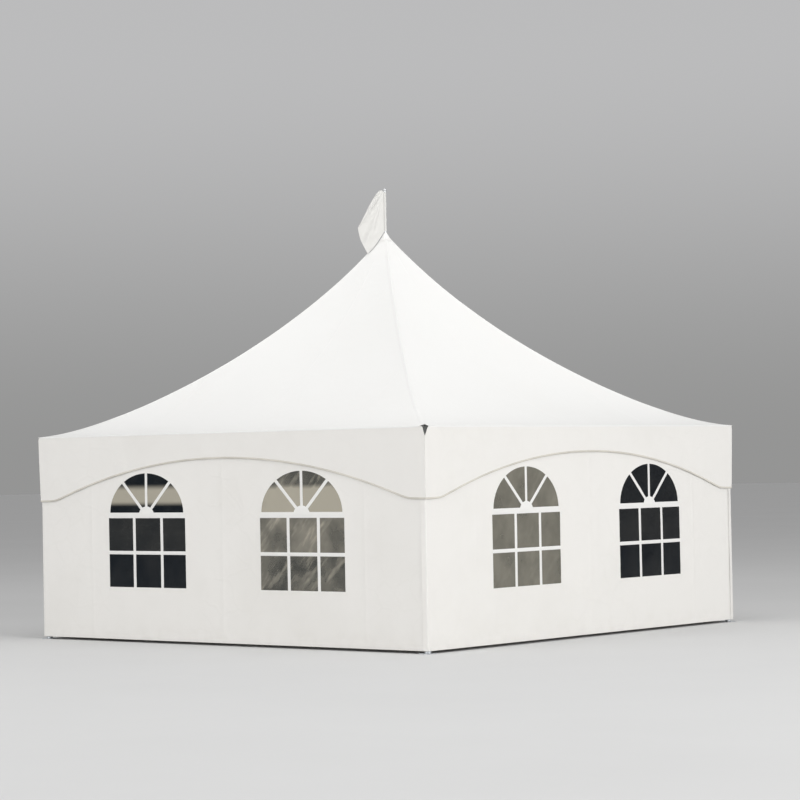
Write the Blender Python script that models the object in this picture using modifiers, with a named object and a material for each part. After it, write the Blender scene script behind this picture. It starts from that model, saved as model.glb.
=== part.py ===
"""A square high-peak frame tent: a swept one-piece fabric roof, arched valances, side walls with arched
clear windows, and a tube frame whose mast stands on four stay cables.

Metres, +Z up. The origin is on the ground at the middle of the plan, and the front faces -Y.
"""

import math

import bmesh
import bpy
from mathutils import Matrix, Vector

# Plan and clearances
SPAN = 6.096  # across the outer faces of two facing valances, 20 ft
FIT_GAP = 0.0003  # between two pieces that touch
SKIN = 0.004  # fabric sheet
PANE_SKIN = 0.003  # clear window sheet

# Roof
EAVE_HEIGHT = 2.455  # top of the fabric along the eave
ROOF_RISE = 2.455  # from the eave to where the four hips would meet
SWEEP_SHARE = 0.884  # share of the rise that follows the gentle curve, and the rest follows the steep one
SWEEP_GENTLE = 1.483  # its power
SWEEP_STEEP = 5.86
SIDE_BOW = 0.055  # how far the middle of a side is drawn in, as a share of its half width there
NECK_HALF = 0.030  # half width of the hole at the peak
ROOF_ROWS = 18
ROOF_COLUMNS = 10  # on each side

# Valance
VALANCE_MIDDLE = 0.305  # depth at the middle of a side
VALANCE_CORNER = 0.790  # depth at the corners
VALANCE_FLAT = 0.270  # level stretch at each end of its lower edge
RELIEF_WIDTH = 0.040  # slit at the top of each corner, at the eave
RELIEF_DEPTH = 0.115
ARCH_STEPS = 20

# Side wall
VALANCE_STANDOFF = 0.022  # from the valance's inner face to the wall's outer face
WALL_CLEARANCE = 0.012  # from the wall's inner face to the legs
HEM_HEIGHT = 0.032  # the hem's height off the ground
FLAP_WIDTH = 0.068  # the end of a wall that is turned round the corner on to its neighbour

# Windows
WINDOW_OFFSET = 1.225  # from the middle of the wall to the middle of a window
WINDOW_WIDTH = 1.270
SILL_DROP = 1.780  # from the top of the wall
SPRING_DROP = 0.910  # from the top of the wall to where the arch starts
SHOULDER = 0.025  # level step at each end of the arch
FAN_RISE = 0.475
PANE_LAP = 0.030  # the pane's margin behind the wall
FAN_STEPS = 18

# Frame
TUBE_RADIUS = 0.0325
SLEEVE_RADIUS = 0.036
TUBE_SIDES = 24
TRACK_THICKNESS = 0.020  # rail along the top of an eave beam, which carries the roof's edge and the wall
TRACK_PROUD = 0.0085  # the rail's top above the tube's, over the hub of a crown
CROWN_REACH = 0.130  # from the corner's axis to the end of a sleeve
CROWN_DROP = 0.140
CROWN_BLOCK = 0.077  # side of the block between the sleeves
CROWN_ROOT = 0.0015  # depth of a sleeve in the block
CROWN_SOLID = 0.044  # from the corner's axis to the bottom of a bore
NOSE = (0.056, 0.008, 0.120)  # width, thickness and height of the angle behind the valances' corner
NOSE_INSET = 0.0005  # behind the plate's edges
CROWN_PLATE_LAP = 0.006  # the plate's inner edge past the corner's axis
CROWN_LUG = (0.110, 0.012, 0.040)  # reach, thickness and height of the cable lug

# Base plate
PLATE_SIDE = 0.140
PLATE_THICKNESS = 0.008
SOCKET_HEIGHT = 0.060
STAKE_HOLE_RADIUS = 0.011
STAKE_HOLE_INSET = 0.022  # from the plate's edges to a hole's centre
HOLE_SIDES = 20

# Mast and stay cables
MAST_RADIUS = 0.030
FOOT_RADIUS = 0.045
FOOT_HEIGHT = 0.120
FOOT_BASE = 2.090  # underside of the mast foot
FOOT_LUG = (0.105, 0.012, 0.040)
CABLE_RADIUS = 0.005
CABLE_SIDES = 10
HEAD_RADIUS = 0.100
HEAD_RIM = 0.012
HEAD_SOCKET_RADIUS = 0.036
HEAD_SOCKET_HEIGHT = 0.090

# Flag and its staff
STAFF_RADIUS = 0.0125
STAFF_HEIGHT = 0.610  # above the mast head
BALL_RADIUS = 0.021
BALL_STEPS = 8
BOOT_RADIUS = 0.070  # fabric cone that covers the hole at the peak
BOOT_HEIGHT = 0.080
FLAG_OVER_BOOT = 0.030  # from the boot to the lower end of the hoist
FLAG_HEAD_REACH = 0.165  # from the staff to where the fold along its top turns down
FLAG_HEAD_DROP = 0.130
FLAG_FLY_REACH = 0.340  # from the staff to the upper free corner
FLAG_FLY_DROP = 0.440  # of that corner below the top of the hoist
FLAG_TAIL_REACH = 0.235  # to the lower free corner
FLAG_TAIL_DROP = 0.690
FLAG_THICKNESS = 0.024
FLAG_TOP_INSET = 0.004  # below the ball
FLAG_TURN = math.radians(225)  # the way that it hangs, seen from above

TURN_STEPS = 24
SHARP_ANGLE = math.radians(35)
JOIN_DISTANCE = 0.00002

# Places that follow from the sizes
HALF_SPAN = SPAN / 2
VALANCE_INNER = HALF_SPAN - SKIN
WALL_OUTER = VALANCE_INNER - VALANCE_STANDOFF
WALL_INNER = WALL_OUTER - SKIN
LEG_AXIS = WALL_INNER - WALL_CLEARANCE - TUBE_RADIUS
TRACK_END = VALANCE_INNER - FIT_GAP
TRACK_TOP = EAVE_HEIGHT - SKIN - FIT_GAP
TRACK_UNDER = TRACK_TOP - TRACK_THICKNESS
TUBE_AXIS_HEIGHT = TRACK_TOP - TRACK_PROUD - TUBE_RADIUS
WALL_TOP = TRACK_UNDER - FIT_GAP
SILL_HEIGHT = WALL_TOP - SILL_DROP
SPRING_HEIGHT = WALL_TOP - SPRING_DROP
VALANCE_TOP = EAVE_HEIGHT - SKIN - FIT_GAP
NECK_SHARE = 1 - NECK_HALF / HALF_SPAN
HEAD_SHARE = 1 - HEAD_RADIUS / HALF_SPAN
BORE_RADIUS = TUBE_RADIUS + FIT_GAP
CROWN_CENTRE = Vector((LEG_AXIS, -LEG_AXIS, TUBE_AXIS_HEIGHT))
FOOT_CENTRE = Vector((0, 0, FOOT_BASE + FOOT_HEIGHT / 2))
INWARD = Vector((-1, 1, 0)).normalized()  # from the front right corner to the axis

BAYS = (("front", 0), ("right", 90), ("back", 180), ("left", 270))
CORNERS = ("front_right", "back_right", "back_left", "front_left")

# Colour, roughness, metallic and alpha of each finish
FINISHES = {
    "white_vinyl": ((0.86, 0.85, 0.81), 0.45, 0.0, 1.0),
    "clear_vinyl": ((0.10, 0.12, 0.11), 0.12, 0.0, 0.45),
    "aluminium": ((0.66, 0.67, 0.68), 0.35, 1.0, 1.0),
    "dark_casting": ((0.10, 0.10, 0.11), 0.55, 0.6, 1.0),
    "galvanised_steel": ((0.52, 0.54, 0.55), 0.45, 1.0, 1.0),
    "steel_cable": ((0.45, 0.46, 0.47), 0.40, 1.0, 1.0),
    "flag_cloth": ((0.88, 0.87, 0.84), 0.70, 0.0, 1.0),
}


def clear_scene():
    """Empties the file and returns the collection for the tent."""
    for obj in list(bpy.data.objects):
        bpy.data.objects.remove(obj, do_unlink=True)
    tent = bpy.data.collections.new("marquee_tent")
    bpy.context.scene.collection.children.link(tent)
    return tent


def material(name):
    """The Principled material of a finish, made the first time it is asked for."""
    found = bpy.data.materials.get(name)
    if found:
        return found
    colour, roughness, metallic, alpha = FINISHES[name]
    made = bpy.data.materials.new(name)
    made.use_nodes = True
    shader = made.node_tree.nodes["Principled BSDF"]
    shader.inputs["Base Color"].default_value = (*colour, 1.0)
    shader.inputs["Roughness"].default_value = roughness
    shader.inputs["Metallic"].default_value = metallic
    shader.inputs["Alpha"].default_value = alpha
    return made


def place(tent, name, mesh, finish, parent=None):
    """Adds an object for a mesh. Its place is in the mesh, in the frame of its parent."""
    obj = bpy.data.objects.new(name, mesh)
    if not mesh.materials:
        mesh.materials.append(material(finish))
    obj.parent = parent
    tent.objects.link(obj)
    return obj


def finished(bm, name):
    """A mesh from a bmesh, facing out, smooth but for its sharp edges."""
    bmesh.ops.recalc_face_normals(bm, faces=bm.faces)
    mesh = bpy.data.meshes.new(name)
    bm.to_mesh(mesh)
    bm.free()
    mesh.shade_smooth()
    mesh.set_sharp_from_angle(angle=SHARP_ANGLE)
    return mesh


def evaluated_mesh(obj):
    """The mesh that an object's curve or modifiers make, welded. The object is removed."""
    graph = bpy.context.evaluated_depsgraph_get()
    made = bpy.data.meshes.new_from_object(obj.evaluated_get(graph))
    name = obj.name
    bm = bmesh.new()
    bm.from_mesh(made)
    bmesh.ops.transform(bm, matrix=obj.matrix_world, verts=bm.verts)
    bmesh.ops.remove_doubles(bm, verts=bm.verts, dist=JOIN_DISTANCE)
    bpy.data.objects.remove(obj, do_unlink=True)
    bpy.data.meshes.remove(made)
    return finished(bm, name)


def plate(tent, name, outline, depth, upright):
    """A flat outline with a thickness, centred on its plane: XZ if upright, and else XY."""
    curve = bpy.data.curves.new(name, "CURVE")
    curve.dimensions = "2D"
    curve.fill_mode = "BOTH"
    curve.extrude = depth / 2
    spline = curve.splines.new("POLY")
    spline.points.add(len(outline) - 1)
    for point, (x, y) in zip(spline.points, outline):
        point.co = (x, y, 0, 1)
    spline.use_cyclic_u = True
    obj = bpy.data.objects.new(name, curve)
    if upright:
        obj.rotation_euler = (math.pi / 2, 0, 0)
    tent.objects.link(obj)
    bpy.context.view_layer.update()
    return evaluated_mesh(obj)


def moved(mesh, x=0, y=0, z=0):
    """The mesh, shifted."""
    mesh.transform(Matrix.Translation((x, y, z)))
    return mesh


def rod(name, start, end, radius, sides=TUBE_SIDES):
    """A round bar from one point to another."""
    start, end = Vector(start), Vector(end)
    bm = bmesh.new()
    bmesh.ops.create_cone(
        bm, cap_ends=True, segments=sides, radius1=radius, radius2=radius, depth=(end - start).length
    )
    turn = (end - start).to_track_quat("Z", "Y").to_matrix().to_4x4()
    bmesh.ops.transform(bm, matrix=Matrix.Translation((start + end) / 2) @ turn, verts=bm.verts)
    return finished(bm, name)


def box(name, centre, size, along=(1, 0, 0)):
    """A box with its first side along a direction and its third as near upright as that allows."""
    bm = bmesh.new()
    bmesh.ops.create_cube(bm, size=1)
    turn = Vector(along).to_track_quat("X", "Z").to_matrix().to_4x4()
    bmesh.ops.transform(
        bm, matrix=Matrix.Translation(centre) @ turn @ Matrix.Diagonal((*size, 1)), verts=bm.verts
    )
    return finished(bm, name)


def turned(tent, name, profile, closed):
    """A profile of (radius, height) points turned round the Z axis. Its outer side runs downwards."""
    mesh = bpy.data.meshes.new(name)
    count = len(profile)
    edges = [(i, (i + 1) % count) for i in range(count if closed else count - 1)]
    mesh.from_pydata([(radius, 0, height) for radius, height in profile], edges, [])
    obj = bpy.data.objects.new(name, mesh)
    tent.objects.link(obj)
    screw = obj.modifiers.new("turn", "SCREW")
    screw.axis = "Z"
    screw.steps = screw.render_steps = TURN_STEPS
    screw.use_merge_vertices = True
    screw.merge_threshold = JOIN_DISTANCE
    bpy.context.view_layer.update()
    return evaluated_mesh(obj)


def combined(tent, name, first, others, operation):
    """The first mesh with the others joined to it or cut from it."""
    base = bpy.data.objects.new(name, first)
    tent.objects.link(base)
    helpers = []
    for number, mesh in enumerate(others):
        helper = bpy.data.objects.new(f"{name}_helper_{number}", mesh)
        tent.objects.link(helper)
        helpers.append(helper)
        step = base.modifiers.new(f"step_{number}", "BOOLEAN")
        step.operation = operation
        step.object = helper
    bpy.context.view_layer.update()
    mesh = evaluated_mesh(base)
    for helper in helpers:
        bpy.data.objects.remove(helper, do_unlink=True)
    return mesh


def swept_height(share):
    """Height of the swept curve where the roof's contour is this share of the way in from the eave."""
    gentle = SWEEP_SHARE * share**SWEEP_GENTLE
    steep = (1 - SWEEP_SHARE) * share**SWEEP_STEEP
    return EAVE_HEIGHT + ROOF_RISE * (gentle + steep)


def roof_height(share):
    """Height of the roof's top surface: the swept curve, but straight where the mast head carries it."""
    if share < HEAD_SHARE:
        return swept_height(share)
    along = (share - HEAD_SHARE) / (NECK_SHARE - HEAD_SHARE)
    return swept_height(HEAD_SHARE) * (1 - along) + swept_height(NECK_SHARE) * along


def under_roof(outward):
    """Height of a piece that touches the underside of the straight part, this far from the axis."""
    return roof_height(1 - outward / HALF_SPAN) - SKIN - FIT_GAP


def roof_point(row, across):
    """A point on the front side of the roof: across is -1 at one hip and 1 at the other."""
    share = NECK_SHARE if row == ROOF_ROWS else HEAD_SHARE * row / (ROOF_ROWS - 1)
    half = HALF_SPAN * (1 - share)
    bow = 0 if row >= ROOF_ROWS - 1 else SIDE_BOW * 4 * share * (1 - share) * (1 - across**2)
    return Vector((across * half, -half * (1 - bow), roof_height(share)))


def canopy_mesh():
    """The roof: a sheet drawn up from the front eave to the peak and repeated on all four sides."""
    bm = bmesh.new()
    bmesh.ops.create_grid(bm, x_segments=ROOF_COLUMNS, y_segments=ROOF_ROWS, size=1)
    for vert in bm.verts:
        row = round(ROOF_ROWS * (vert.co.y + 1) / 2)
        vert.co = roof_point(row, vert.co.x)
    front = bm.verts[:] + bm.edges[:] + bm.faces[:]
    for degrees in (90, 180, 270):
        copy = bmesh.ops.duplicate(bm, geom=front)
        verts = [item for item in copy["geom"] if isinstance(item, bmesh.types.BMVert)]
        bmesh.ops.rotate(bm, verts=verts, matrix=Matrix.Rotation(math.radians(degrees), 3, "Z"))
    bmesh.ops.remove_doubles(bm, verts=bm.verts, dist=JOIN_DISTANCE)
    under = bmesh.ops.extrude_face_region(bm, geom=bm.faces[:])
    lower = [item for item in under["geom"] if isinstance(item, bmesh.types.BMVert)]
    bmesh.ops.translate(bm, verts=lower, vec=(0, 0, -SKIN))
    return finished(bm, "canopy")


def valance_outline():
    """The front valance: level along the eave, with slits at its top corners and an arched lower edge."""
    left, right = -HALF_SPAN, VALANCE_INNER - FIT_GAP
    low = EAVE_HEIGHT - VALANCE_CORNER
    crown = EAVE_HEIGHT - VALANCE_MIDDLE
    half = HALF_SPAN - VALANCE_FLAT
    rise = crown - low
    radius = (half**2 + rise**2) / (2 * rise)
    spread = math.asin(half / radius)
    arch = []
    for step in range(ARCH_STEPS + 1):
        angle = spread * (2 * step / ARCH_STEPS - 1)
        arch.append((radius * math.sin(angle), crown - radius * (1 - math.cos(angle))))
    corner_right = [
        (right, low),
        (right, VALANCE_TOP - RELIEF_DEPTH),
        (right - RELIEF_WIDTH, VALANCE_TOP),
    ]
    corner_left = [
        (left + RELIEF_WIDTH, VALANCE_TOP),
        (left, VALANCE_TOP - RELIEF_DEPTH),
        (left, low),
    ]
    return arch + corner_right + corner_left


def valance_mesh(tent):
    """The front valance."""
    mesh = plate(tent, "valance", valance_outline(), SKIN, upright=True)
    return moved(mesh, y=-(HALF_SPAN - SKIN / 2))


def window_outline(lap):
    """A window's outline, widened by a lap: upright sides, a step in, then half an ellipse."""
    side, sill = WINDOW_WIDTH / 2 + lap, SILL_HEIGHT - lap
    outline = [(-side, SPRING_HEIGHT), (-side, sill), (side, sill), (side, SPRING_HEIGHT)]
    for step in range(FAN_STEPS + 1):
        angle = math.pi * step / FAN_STEPS
        x = (side - SHOULDER) * math.cos(angle)
        outline.append((x, SPRING_HEIGHT + (FAN_RISE + lap) * math.sin(angle)))
    return outline


def wall_mesh(tent):
    """The front side wall: a sheet with two windows cut, whose left end laps round the corner."""
    turn_outer = WALL_OUTER + FIT_GAP + SKIN
    turn_inner = WALL_OUTER + FIT_GAP
    end = WALL_INNER - FIT_GAP
    plan = [
        (-turn_outer, -WALL_OUTER),
        (end, -WALL_OUTER),
        (end, -WALL_INNER),
        (-turn_inner, -WALL_INNER),
        (-turn_inner, -WALL_OUTER + FLAP_WIDTH),
        (-turn_outer, -WALL_OUTER + FLAP_WIDTH),
    ]
    height = WALL_TOP - HEM_HEIGHT
    sheet = moved(plate(tent, "wall", plan, height, upright=False), z=HEM_HEIGHT + height / 2)
    cutters = []
    for side in (-1, 1):
        cutter = plate(tent, "opening", window_outline(lap=0), 4 * SKIN, upright=True)
        cutters.append(moved(cutter, x=side * WINDOW_OFFSET, y=-(WALL_OUTER + WALL_INNER) / 2))
    return combined(tent, "wall", sheet, cutters, "DIFFERENCE")


def pane_mesh(tent, side):
    """The clear sheet behind one window of the front wall."""
    mesh = plate(tent, "pane", window_outline(PANE_LAP), PANE_SKIN, upright=True)
    return moved(mesh, x=side * WINDOW_OFFSET, y=-(WALL_INNER - FIT_GAP - PANE_SKIN / 2))


def beam_mesh(tent):
    """The front eave beam: a tube that enters both crowns, and a rail that reaches out to the roof's edge."""
    rail_half = LEG_AXIS - CROWN_REACH - FIT_GAP
    tube_half = LEG_AXIS - CROWN_SOLID - FIT_GAP
    rail_size = (2 * rail_half, TRACK_END - LEG_AXIS, TRACK_THICKNESS)
    rail_centre = (0, -(TRACK_END + LEG_AXIS) / 2, TRACK_TOP - TRACK_THICKNESS / 2)
    tube_ends = [(side * tube_half, -LEG_AXIS, TUBE_AXIS_HEIGHT) for side in (-1, 1)]
    tube, rail = rod("tube", *tube_ends, TUBE_RADIUS), box("rail", rail_centre, rail_size)
    return combined(tent, "eave_beam", tube, [rail], "UNION")


def corner_angle(tent, name, faces, end, top, height):
    """An angle in plan at the front right corner, between its outer and inner faces.

    Faces are the distances of those faces from the axis of the tent, and end is the distance of its ends.
    """
    outer, inner = faces
    plan = [(end, -outer), (outer, -outer), (outer, -end), (inner, -end), (inner, -inner), (end, -inner)]
    return moved(plate(tent, name, plan, height, upright=False), z=top - height / 2)


def crown_mesh(tent):
    """The casting at the front right corner: a block with three bored sleeves, a plate, a nose and a lug."""
    axis, height = LEG_AXIS, TUBE_AXIS_HEIGHT
    root = CROWN_BLOCK / 2 - CROWN_ROOT
    near, low = axis - CROWN_REACH, height - CROWN_DROP
    nose_width, nose_thickness, nose_height = NOSE
    nose_outer = TRACK_END - NOSE_INSET
    nose_faces = (nose_outer, nose_outer - nose_thickness)
    nose_top = TRACK_TOP - TRACK_THICKNESS / 2
    plate_faces = (TRACK_END, axis - CROWN_PLATE_LAP)
    parts = [
        rod("front_sleeve", (near, -axis, height), (axis - root, -axis, height), SLEEVE_RADIUS),
        rod("side_sleeve", (axis, -near, height), (axis, root - axis, height), SLEEVE_RADIUS),
        rod("leg_sleeve", (axis, -axis, low), (axis, -axis, height - root), SLEEVE_RADIUS),
        box("block", CROWN_CENTRE, (CROWN_BLOCK, CROWN_BLOCK, CROWN_BLOCK)),
        box("lug", CROWN_CENTRE + INWARD * CROWN_LUG[0] / 2, CROWN_LUG, INWARD),
        corner_angle(tent, "nose", nose_faces, nose_outer - nose_width, nose_top, nose_height),
    ]
    corner = corner_angle(tent, "corner", plate_faces, near, TRACK_TOP, TRACK_THICKNESS)
    whole = combined(tent, "crown", corner, parts, "UNION")
    past, deep = near - SLEEVE_RADIUS, axis - CROWN_SOLID
    bores = [
        rod("front_bore", (past, -axis, height), (deep, -axis, height), BORE_RADIUS),
        rod("side_bore", (axis, -past, height), (axis, -deep, height), BORE_RADIUS),
        rod("leg_bore", (axis, -axis, low - SLEEVE_RADIUS), (axis, -axis, height - CROWN_SOLID), BORE_RADIUS),
    ]
    return combined(tent, "crown", whole, bores, "DIFFERENCE")


def leg_top():
    """Height of the top of a leg, up in its crown."""
    return TUBE_AXIS_HEIGHT - CROWN_SOLID - FIT_GAP


def base_plate_mesh(tent):
    """The foot of the front right leg: a steel plate with a socket for the leg and two stake holes."""
    axis = LEG_AXIS
    flat = box("foot", (axis, -axis, PLATE_THICKNESS / 2), (PLATE_SIDE, PLATE_SIDE, PLATE_THICKNESS))
    socket = rod("socket", (axis, -axis, PLATE_THICKNESS / 2), (axis, -axis, SOCKET_HEIGHT), SLEEVE_RADIUS)
    joined = combined(tent, "base_plate", flat, [socket], "UNION")
    cutters = [rod("bore", (axis, -axis, PLATE_THICKNESS), (axis, -axis, 2 * SOCKET_HEIGHT), BORE_RADIUS)]
    off = PLATE_SIDE / 2 - STAKE_HOLE_INSET
    for side in (-1, 1):
        x, y = axis + side * off, -axis - side * off
        below, above = (x, y, -PLATE_THICKNESS), (x, y, 2 * PLATE_THICKNESS)
        cutters.append(rod("stake_hole", below, above, STAKE_HOLE_RADIUS, HOLE_SIDES))
    return combined(tent, "base_plate", joined, cutters, "DIFFERENCE")


def leg_mesh():
    """The front right leg, from its base plate up into the crown."""
    low = (LEG_AXIS, -LEG_AXIS, PLATE_THICKNESS + FIT_GAP)
    return rod("leg", low, (LEG_AXIS, -LEG_AXIS, leg_top()), TUBE_RADIUS)


def cable_mesh():
    """The stay cable from the front right crown's lug to the mast foot's."""
    start = CROWN_CENTRE + INWARD * CROWN_LUG[0]
    end = FOOT_CENTRE - INWARD * FOOT_LUG[0]
    along = (end - start).normalized()
    inset = along * (FIT_GAP + CABLE_RADIUS * abs(along.z))
    return rod("stay_cable", start + inset, end - inset, CABLE_RADIUS, CABLE_SIDES)


def mast_foot_mesh(tent):
    """The shoe that the mast stands in, with a lug for each cable."""
    shoe = rod("shoe", (0, 0, FOOT_BASE), (0, 0, FOOT_BASE + FOOT_HEIGHT), FOOT_RADIUS)
    reach, thickness, height = FOOT_LUG
    lugs = []
    for across in (INWARD, INWARD.cross(Vector((0, 0, 1)))):
        lugs.append(box("lug", FOOT_CENTRE, (2 * reach, thickness, height), across))
    return combined(tent, "mast_foot", shoe, lugs, "UNION")


def head_top():
    """Height of the small flat on top of the mast head, where the flag staff stands."""
    return under_roof(NECK_HALF)


def mast_head_mesh(tent):
    """The turned head that spreads the mast's load into the roof, a cone under the fabric with a socket."""
    rim, base = under_roof(HEAD_RADIUS) - HEAD_RIM, head_base()
    profile = [
        (0, head_top()),
        (NECK_HALF, head_top()),
        (HEAD_RADIUS, rim + HEAD_RIM),
        (HEAD_RADIUS, rim),
        (HEAD_SOCKET_RADIUS, rim),
        (HEAD_SOCKET_RADIUS, base),
        (0, base),
    ]
    return turned(tent, "mast_head", profile, closed=False)


def head_base():
    """Height of the underside of the mast head's socket."""
    return under_roof(HEAD_RADIUS) - HEAD_RIM - HEAD_SOCKET_HEIGHT


def mast_mesh():
    """The mast, from its foot to its head."""
    return rod("mast", (0, 0, FOOT_BASE + FOOT_HEIGHT + FIT_GAP), (0, 0, head_base() - FIT_GAP), MAST_RADIUS)


def staff_top():
    """Height of the top of the ball on the flag staff."""
    return head_top() + FIT_GAP + STAFF_HEIGHT


def staff_mesh(tent):
    """The flag staff, with a ball on its top."""
    base, centre = head_top() + FIT_GAP, staff_top() - BALL_RADIUS
    last = math.pi - math.asin(STAFF_RADIUS / BALL_RADIUS)
    profile = [(0, staff_top())]
    for step in range(1, BALL_STEPS + 1):
        angle = last * step / BALL_STEPS
        profile.append((BALL_RADIUS * math.sin(angle), centre + BALL_RADIUS * math.cos(angle)))
    profile += [(STAFF_RADIUS, base), (0, base)]
    return turned(tent, "flag_staff", profile, closed=False)


def on_hip(radius):
    """Height of a piece that touches the roof's hips from above, this far from the axis."""
    return roof_height(1 - radius / math.sqrt(2) / HALF_SPAN) + FIT_GAP


def boot_top():
    """Height of the boot's neck."""
    return on_hip(BOOT_RADIUS - SKIN) + BOOT_HEIGHT


def boot_mesh(tent):
    """The fabric cone round the staff, resting on the four hips."""
    rim, neck = BOOT_RADIUS - SKIN, STAFF_RADIUS + FIT_GAP
    profile = [
        (neck + SKIN, boot_top()),
        (BOOT_RADIUS, on_hip(BOOT_RADIUS)),
        (rim, on_hip(rim)),
        (neck, boot_top() - SKIN),
        (neck, boot_top()),
    ]
    return turned(tent, "peak_boot", profile, closed=True)


def flag_mesh(tent):
    """The limp flag as one flat solid: its hoist on the staff, its free edge hanging low."""
    top = staff_top() - 2 * BALL_RADIUS - FLAG_TOP_INSET
    near = STAFF_RADIUS + FIT_GAP
    outline = [
        (near, top),
        (near, boot_top() + FLAG_OVER_BOOT),
        (FLAG_TAIL_REACH, top - FLAG_TAIL_DROP),
        (FLAG_FLY_REACH, top - FLAG_FLY_DROP),
        (FLAG_HEAD_REACH, top - FLAG_HEAD_DROP),
    ]
    mesh = plate(tent, "flag", outline, FLAG_THICKNESS, upright=True)
    mesh.transform(Matrix.Rotation(FLAG_TURN, 4, "Z"))
    return mesh


def main():
    """Builds the tent: the pieces of one bay, repeated four times, then those on the axis."""
    tent = clear_scene()
    valance, wall = valance_mesh(tent), wall_mesh(tent)
    panes = {"left": pane_mesh(tent, -1), "right": pane_mesh(tent, 1)}
    beam, crown, foot = beam_mesh(tent), crown_mesh(tent), base_plate_mesh(tent)
    leg, cable = leg_mesh(), cable_mesh()
    for (bay, degrees), corner in zip(BAYS, CORNERS):
        turn = bpy.data.objects.new(f"bay_{bay}", None)
        turn.rotation_euler = (0, 0, math.radians(degrees))
        tent.objects.link(turn)
        place(tent, f"valance_{bay}", valance, "white_vinyl", turn)
        place(tent, f"side_wall_{bay}", wall, "white_vinyl", turn)
        for side, pane in panes.items():
            place(tent, f"window_{bay}_{side}", pane, "clear_vinyl", turn)
        place(tent, f"eave_beam_{bay}", beam, "aluminium", turn)
        place(tent, f"corner_crown_{corner}", crown, "dark_casting", turn)
        place(tent, f"leg_{corner}", leg, "aluminium", turn)
        place(tent, f"base_plate_{corner}", foot, "galvanised_steel", turn)
        place(tent, f"stay_cable_{corner}", cable, "steel_cable", turn)
    place(tent, "canopy", canopy_mesh(), "white_vinyl")
    place(tent, "mast_foot", mast_foot_mesh(tent), "galvanised_steel")
    place(tent, "mast", mast_mesh(), "aluminium")
    place(tent, "mast_head", mast_head_mesh(tent), "galvanised_steel")
    place(tent, "peak_boot", boot_mesh(tent), "white_vinyl")
    place(tent, "flag_staff", staff_mesh(tent), "aluminium")
    place(tent, "flag", flag_mesh(tent), "flag_cloth")


main()
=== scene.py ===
import logging
import math
from collections.abc import Iterable, Sequence
from dataclasses import dataclass, field
from enum import Enum

import bmesh
import bpy
import numpy as np
from bpy.types import Mesh, Object
from mathutils import Matrix, Vector
from mathutils.bvhtree import BVHTree
from mathutils.geometry import delaunay_2d_cdt
from mathutils.kdtree import KDTree


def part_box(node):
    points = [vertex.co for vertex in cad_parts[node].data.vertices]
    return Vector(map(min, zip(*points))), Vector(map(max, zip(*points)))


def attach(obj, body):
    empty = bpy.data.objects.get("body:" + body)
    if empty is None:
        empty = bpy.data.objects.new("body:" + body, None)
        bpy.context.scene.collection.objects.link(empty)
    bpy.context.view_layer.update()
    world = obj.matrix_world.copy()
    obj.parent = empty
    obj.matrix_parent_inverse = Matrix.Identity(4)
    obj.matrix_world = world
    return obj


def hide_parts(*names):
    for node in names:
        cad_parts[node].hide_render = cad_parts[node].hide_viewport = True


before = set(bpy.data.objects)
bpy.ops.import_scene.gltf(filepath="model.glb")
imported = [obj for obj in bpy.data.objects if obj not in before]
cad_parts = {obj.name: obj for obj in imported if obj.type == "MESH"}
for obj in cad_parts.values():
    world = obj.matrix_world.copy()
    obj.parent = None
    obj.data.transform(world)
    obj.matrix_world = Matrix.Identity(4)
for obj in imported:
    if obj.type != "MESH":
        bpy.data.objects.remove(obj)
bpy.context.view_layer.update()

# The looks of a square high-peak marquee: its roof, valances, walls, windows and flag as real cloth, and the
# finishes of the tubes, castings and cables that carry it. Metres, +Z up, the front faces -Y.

LOG = logging.getLogger("marquee")
UP = np.array((0.0, 0.0, 1.0))
FRONT_OUT = np.array((0.0, -1.0, 0.0))  # the way that the front side faces
SHARP_ANGLE = math.radians(40)
HANDS = {-1: "left", 1: "right"}  # the two windows of a wall, seen from outside
FULL_TURN = 2 * math.pi

Array = np.ndarray
Pair = tuple[float, float]
Triple = tuple[float, float, float]
Face = tuple[int, ...]
Points = Sequence[Sequence[float]]


class Side(Enum):
    """A side of the tent, with its turn from the front one in degrees."""

    FRONT = 0
    RIGHT = 90
    BACK = 180
    LEFT = 270

    @property
    def label(self) -> str:
        """The side's name in the names of pieces."""
        return self.name.lower()

    @property
    def turn(self) -> Matrix:
        """The turn that brings a front piece to this side."""
        return Matrix.Rotation(math.radians(self.value), 4, "Z")

    def turned(self, points: Array) -> Array:
        """Points of a front piece, brought to this side."""
        return points @ np.array(self.turn.to_3x3()).T

    @property
    def corner(self) -> str:
        """The name of the corner at the right end of this side, seen from outside."""
        names = {0: "front_right", 90: "back_right", 180: "back_left", 270: "front_left"}
        return names[self.value]

    @property
    def left_corner(self) -> str:
        """The name of the corner at the left end."""
        return Side((self.value - 90) % 360).corner


class Slot(Enum):
    """Names of material slots for the added pieces."""

    VINYL = "white_vinyl"
    CLEAR = "clear_vinyl"
    STEEL = "galvanised_steel"
    FLAG = "flag_cloth"


# Nodes

Term = "Wire | float"  # what arithmetic takes


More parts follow.
